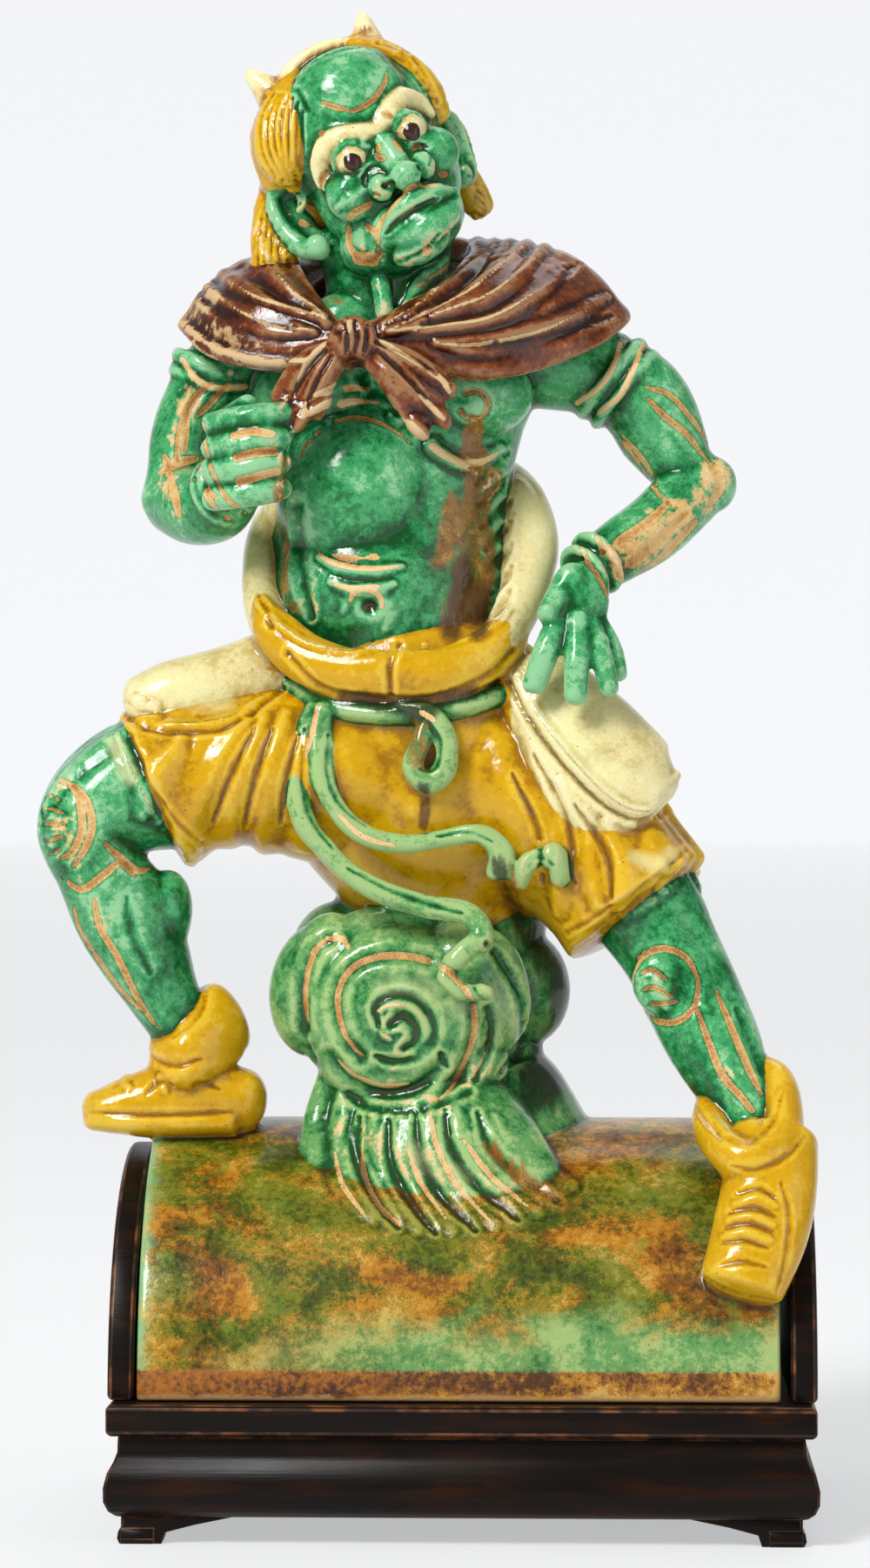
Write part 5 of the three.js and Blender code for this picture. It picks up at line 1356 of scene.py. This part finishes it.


# The fired piece's surface: each glaze in its zone, then the tile's, stains, painted shade and highlights,
# then bare clay, pinholes and darker deep creases.
def glazedClay():
    s = Shade("glazed_clay")
    slow, grain = s.noise(patches["slow"], 3), s.noise(patches["grain"], 2)
    fine, patch = s.noise(patches["fine"], 4, 0.65), s.noise(patches["patch"], 4, 0.6, twist=0.4)
    cavity, hollow = s.field("cavity"), s.field("hollow")
    thin, bare = s.field("thin"), s.field("bare")
    edge = (fine - 0.5) * 0.14 + (patch - 0.5) * 0.12
    level = 0.5 + (0.5 - cavity) * 1.9 + (0.5 - hollow) * 0.6 + (slow - 0.5) * 1.4 + (fine - 0.5) * 1.0
    level = (level + (patch - 0.5) * 0.9 + (grain - 0.5) * 0.5).held()

    colour = ramped(s, glaze["green"], (level - 0.05).held())
    masks = {}
    for name in ("cloud", "amber", "cream", "brown", "horn"):
        soft = {"cloud": 0.10, "cream": 0.16}.get(name, 0.025)
        masks[name] = s.step(s.field(name) + edge * 0.5, 0.48 - soft, 0.48 + soft)
    paleCloud = ramped(s, glaze["cloud"], level)
    colour = s.mix(masks["cloud"], colour, paleCloud)
    ochre = ramped(s, glaze["amber"], (level * 0.46 + 0.36).held())
    colour = s.mix(masks["amber"], colour, ochre)
    ivory = ramped(s, glaze["cream"], (level * 0.62 + 0.2).held())
    ivory = s.mix(s.cracks(patches["crackle"], 0.035) * 0.35, ivory, glaze["crackle"])
    colour = s.mix(masks["cream"], colour, ivory)
    aubergine = ramped(s, glaze["brown"], (level * 0.8).held())
    colour = s.mix(masks["brown"], colour, aubergine)
    colour = s.mix(masks["horn"], colour, ramped(s, glaze["horn"], level))

    # the tile: olive and orange run into each other, with turquoise where the glaze is thick
    height, across = s.along("Z"), s.along("X")
    tile = s.step(s.field("tile") + edge * 1.2, 0.35, 0.6)
    drift = s.noise(patches["drift"], 4, 0.6, (0.7, 1, 1.3), 0.6)
    warm = s.step(drift + edge + (grain - 0.5) * 0.3, 0.44, 0.60)
    tileColour = s.mix(warm, ramped(s, glaze["olive"], level), ramped(s, glaze["clayOrange"], level))
    lime = s.step(s.noise(patches["lime"], 4, 0.6, twist=0.5) + edge, 0.56, 0.72)
    tileColour = s.mix(lime * 0.7, tileColour, glaze["lime"])
    aslant = height + (patch - 0.5) * 0.012 + (drift - 0.5) * 0.03
    thick = s.step(aslant, tileLines["bandHigh"], tileLines["bandLow"])
    thick = thick * s.step(across + (drift - 0.5) * 0.16, -0.10, 0.02)
    tileColour = s.mix(thick * 0.85, tileColour, ramped(s, glaze["cloud"], (level + 0.25).held()))
    endEdge = s.step(across + (patch - 0.5) * 0.012, tileLines["end"], tileLines["end"] - 0.011)
    tileColour = s.mix(endEdge, tileColour, glaze["tileRim"])
    strip = s.step(height + (fine - 0.5) * 0.003, tileLines["strip"] + 0.002, tileLines["strip"])
    darkened = s.step(across + (drift - 0.5) * 0.2, 0.03, -0.04)
    scorched = s.mix(s.step(fine * 0.6 + drift * 0.5, 0.42, 0.66), *glaze["scorch"])
    bareStrip = s.mix(darkened, ramped(s, glaze["clayOrange"], (level * 1.6 - 0.45).held()), scorched)
    jagged = height + (patch - 0.5) * 0.006 + (fine - 0.5) * 0.004
    chipped = s.step(jagged, tileLines["chip"] + 0.002, tileLines["chip"])
    bareStrip = s.mix(chipped * 0.8, bareStrip, glaze["tileChip"])
    tileColour = s.mix(strip, tileColour, bareStrip)
    colour = s.mix(tile, colour, tileColour)

    # runs and stains over all of them, then painted shade and painted highlights
    streak = s.noise(patches["streak"], 4, 0.65, (1.6, 1, 0.35), 0.4)
    covers = (1 - masks["cream"]) * (1 - masks["amber"] * 0.6)
    ragged = (streak - 0.5) * 1.5 + (patch - 0.5) * 0.7 + (fine - 0.5) * 0.5
    stain = s.step(s.field("stain") * s.step(s.field("stain"), 0.02, 0.3) + ragged, 0.34, 0.80) * covers
    stain = stain * s.step(s.field("stain"), 0.04, 0.3)
    rust = s.mix(s.step(streak + (fine - 0.5) * 0.8, 0.34, 0.70), glaze["stainDark"], glaze["stain"])
    rust = s.mix(s.step(patch + (grain - 0.5) * 0.5, 0.5, 0.75), rust, glaze["stainPale"])
    colour = s.mix(stain * 0.9, colour, rust)
    # painted shade: where the dark field lies, in holes, creases and under overhangs, a darker copy of the
    # glaze
    dark = s.step(s.field("dark") + (streak - 0.5) * 0.8 + (fine - 0.5) * 0.4, 0.36, 0.80)
    shadeColour = s.mix(s.step(streak, 0.4, 0.7), glaze["darkened"], glaze["paintedShadeWarm"])
    shadeColour = s.mix(masks["cloud"], shadeColour, glaze["paintedShadeGreen"])
    lighterShadeOnAmber = masks["amber"] * (1 - s.step(s.field("dark"), 0.62, 0.86))
    colour = s.mix(dark * 0.88, colour, s.mix(lighterShadeOnAmber, shadeColour, glaze["paintedShadeAmber"]))
    # painted highlights: a pale yellow laid over the crests of flaps, hems and cloud
    paintedHighlight = s.step(s.field("paintedHighlight") + (patch - 0.5) * 0.4, 0.30, 0.9)
    colour = s.mix(paintedHighlight * 0.5, colour, glaze["paintedHighlight"])

    # bare clay: along the cut lines, and where the glaze wore or never took
    line = s.step(bare + (fine - 0.5) * 0.10 + (grain - 0.5) * 0.05, 0.47, 0.53)
    rim = s.step(bare + (fine - 0.5) * 0.10, 0.36, 0.47) * (1 - line)
    worn = s.step(thin * 0.62 + (patch - 0.5) * 0.9 + (0.5 - cavity) * 0.6 + (fine - 0.5) * 0.4, 0.38, 0.50)
    worn = worn * s.step(thin, 0.08, 0.25)
    crest = s.step((0.5 - cavity) + (patch - 0.5) * 0.3 + (fine - 0.5) * 0.2, 0.30, 0.46)
    crest = crest * (1 - tile) * (0.5 - masks["brown"] * 0.3)
    uncovered = line.most(worn).most(crest * (1 - masks["amber"] * 0.5))
    buff = ramped(s, glaze["bare"], (level * 0.7 + (grain - 0.5) * 0.6 + 0.12).held())
    buff = s.mix(masks["brown"] * 0.75, buff, s.mix(level, *glaze["underBrown"]))
    colour = s.mix(rim * 0.55, colour, glaze["rim"])
    colour = s.mix(uncovered, colour, buff)
    # pinholes, and a near-black darkening in the deepest creases
    specks = s.specks(patches["specks"], 0.10) * s.step(s.noise(patches["speckGroups"], 2), 0.45, 0.6)
    colour = s.mix(specks * 0.75, colour, glaze["speck"])
    creaseDark = s.step(cavity + (fine - 0.5) * 0.25, 0.72, 0.98)
    colour = s.mix(creaseDark * 0.6, colour, glaze["creaseDark"])
    colour = s.mix(s.step(s.field("pupil"), 0.4, 0.6), colour, glaze["pupil"])

    dull = uncovered.most(strip * tile)
    rough = 0.10 + (fine - 0.5) * 0.06 + dull * 0.45 + tile * 0.10 + s.step(thin, 0.2, 0.7) * 0.15
    swell = (patch * 0.7 + fine * 0.35 + grain * dull * 0.5) - line * 0.25 - specks * 0.3
    return s.finish(colour, rough, {"Specular IOR Level": 0.42}, (swell, 0.34))


figure.data.materials.append(glazedClay())
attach(figure, "root")
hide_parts("ridge_figure")
print("glazes: laid on")

stand = {
    "bevel": 0.7,  # millimetres
    "grain": (0.09, 1, 1),  # drawn out along X
    "pores": (0.05, 1, 1),
    "sizes": {"grain": 5, "pore": 0.9, "wear": 40, "edge": 12},
    "dark": (0.006, 0.004, 0.003),
    "warm": (0.022, 0.006, 0.002),
    "pore": (0.004, 0.003, 0.002),
    "edgeDark": (0.02, 0.008, 0.004),
    "edgeWarm": (0.17, 0.055, 0.016),
}


# A dark polished hardwood.
def standWood():
    s = Shade("stand_wood")
    sizes = stand["sizes"]
    grain = s.noise(sizes["grain"], 5, 0.6, stand["grain"], 0.3)
    pore = s.noise(sizes["pore"], 3, 0.6, stand["pores"])
    wear = s.noise(sizes["wear"], 4)
    warm = s.step(grain * 0.7 + wear * 0.4, 0.52, 0.72)
    colour = s.mix(warm, stand["dark"], stand["warm"])
    colour = s.mix(s.step(pore, 0.6, 0.75) * 0.5, colour, stand["pore"])
    rough = 0.34 + (wear - 0.5) * 0.2
    return s.finish(colour, rough, {"Specular IOR Level": 0.12}, (grain * 0.4 + pore * 0.6, 0.12))


# Its edges, rubbed to red-brown in places.
def rubbedEdge():
    s = Shade("stand_wood_rubbed")
    wear = s.noise(stand["sizes"]["edge"], 4)
    colour = s.mix(s.step(wear, 0.45, 0.68), stand["edgeDark"], stand["edgeWarm"])
    return s.finish(colour, 0.36, {"Specular IOR Level": 0.3})


# A node's loose triangles joined into one solid, its flat faces made whole again and its edges rounded.
def standPiece(name, woods):
    mesh = bpy.data.meshes.new(name + "_wood")
    work = bmesh.new()
    work.from_mesh(nodes[name].data)
    bmesh.ops.remove_doubles(work, verts=work.verts, dist=0.01 * mm)
    bmesh.ops.dissolve_limit(work, angle_limit=math.radians(0.5), verts=work.verts, edges=work.edges)
    work.to_mesh(mesh)
    work.free()
    piece = newObject(name + "_wood", mesh)
    for wood in woods:
        mesh.materials.append(wood)
    mesh.polygons.foreach_set("material_index", np.zeros(len(mesh.polygons), np.int32))
    mesh.polygons.foreach_set("use_smooth", np.ones(len(mesh.polygons), bool))
    rounded = piece.modifiers.new("rounded", "BEVEL")
    rounded.width = stand["bevel"] * mm
    rounded.segments = 2
    rounded.limit_method = "ANGLE"
    rounded.angle_limit = math.radians(35)
    rounded.harden_normals = True
    rounded.material = 1  # the rubbed wood
    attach(piece, "root")
    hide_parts(name)


woods = [standWood(), rubbedEdge()]
for name in sorted(nodes):
    if name.startswith("stand_"):
        standPiece(name, woods)
print("stand: made")

room = {  # a pale floor that runs back to a pale wall
    "reach": 25.0,
    "floor": (0.42, 0.425, 0.43),
    "floorGlow": 1.16,
    "wall": (0.42, 0.425, 0.435),
    "wallGlow": 1.36,
    "wallTop": 20,
    "sky": (1.0, 0.985, 0.97, 1),
    "skyStrength": 0.26,
}
lamps = {  # where it stands, how wide, how strong
    "key": ((-1.5, -2.2, 2.1), 0.7, 50),
    "fill": ((2.4, -1.8, 1.2), 2.2, 17),
    "top": ((0.3, 0.9, 2.2), 1.0, 6),
}
lampAim = (0, 0, 0.33)
sunlight = {"way": (0.42, 0.62, -0.8), "strength": 1.45, "spread": 18}
view = {"from": (0.0719, -1.9988, 0.2978), "turn": 2, "lens": 110.99, "sensor": 36}


def plainPaint(name, colour, glow):
    constants = {"Emission Color": (*colour, 1), "Emission Strength": glow, "Specular IOR Level": 0.2}
    return Shade(name).finish(colour, 0.7, constants)


def sheet(name, corners, material):
    mesh = bpy.data.meshes.new(name)
    mesh.from_pydata(corners, [], [(0, 1, 2, 3)])
    mesh.materials.append(material)
    newObject(name, mesh)


far, top = room["reach"], room["wallTop"]
floorPaint = plainPaint("floor_pale", room["floor"], room["floorGlow"])
wallPaint = plainPaint("wall_pale", room["wall"], room["wallGlow"])
sheet("floor", [(-far, -far, 0), (far, -far, 0), (far, far, 0), (-far, far, 0)], floorPaint)
sheet("wall", [(-far, far, top), (far, far, top), (far, far, -1), (-far, far, -1)], wallPaint)

world = bpy.data.worlds.new("studio")
world.use_nodes = True
sky = world.node_tree.nodes["Background"]
sky.inputs["Color"].default_value = room["sky"]
sky.inputs["Strength"].default_value = room["skyStrength"]
scene.world = world


# A lamp that shines the given way.
def shine(name, kind, way, place=(0, 0, 0), **settings):
    data = bpy.data.lights.new(name, kind)
    for key, value in settings.items():
        setattr(data, key, value)
    lamp = newObject(name, data)
    lamp.location = place
    lamp.rotation_euler = Vector(way).to_track_quat("-Z", "Y").to_euler()


shine("sun", "SUN", sunlight["way"], energy=sunlight["strength"], angle=math.radians(sunlight["spread"]))
for name, (place, size, power) in lamps.items():
    shine(name, "AREA", Vector(lampAim) - Vector(place), place, energy=power, size=size)

cameraData = bpy.data.cameras.new("view")
cameraData.lens = view["lens"]
cameraData.sensor_width = view["sensor"]
camera = newObject("view", cameraData)
camera.location = view["from"]
camera.rotation_euler = (math.pi / 2, 0, math.radians(view["turn"]))
scene.camera = camera
scene.view_settings.view_transform = "Standard"

print("scene: ready")
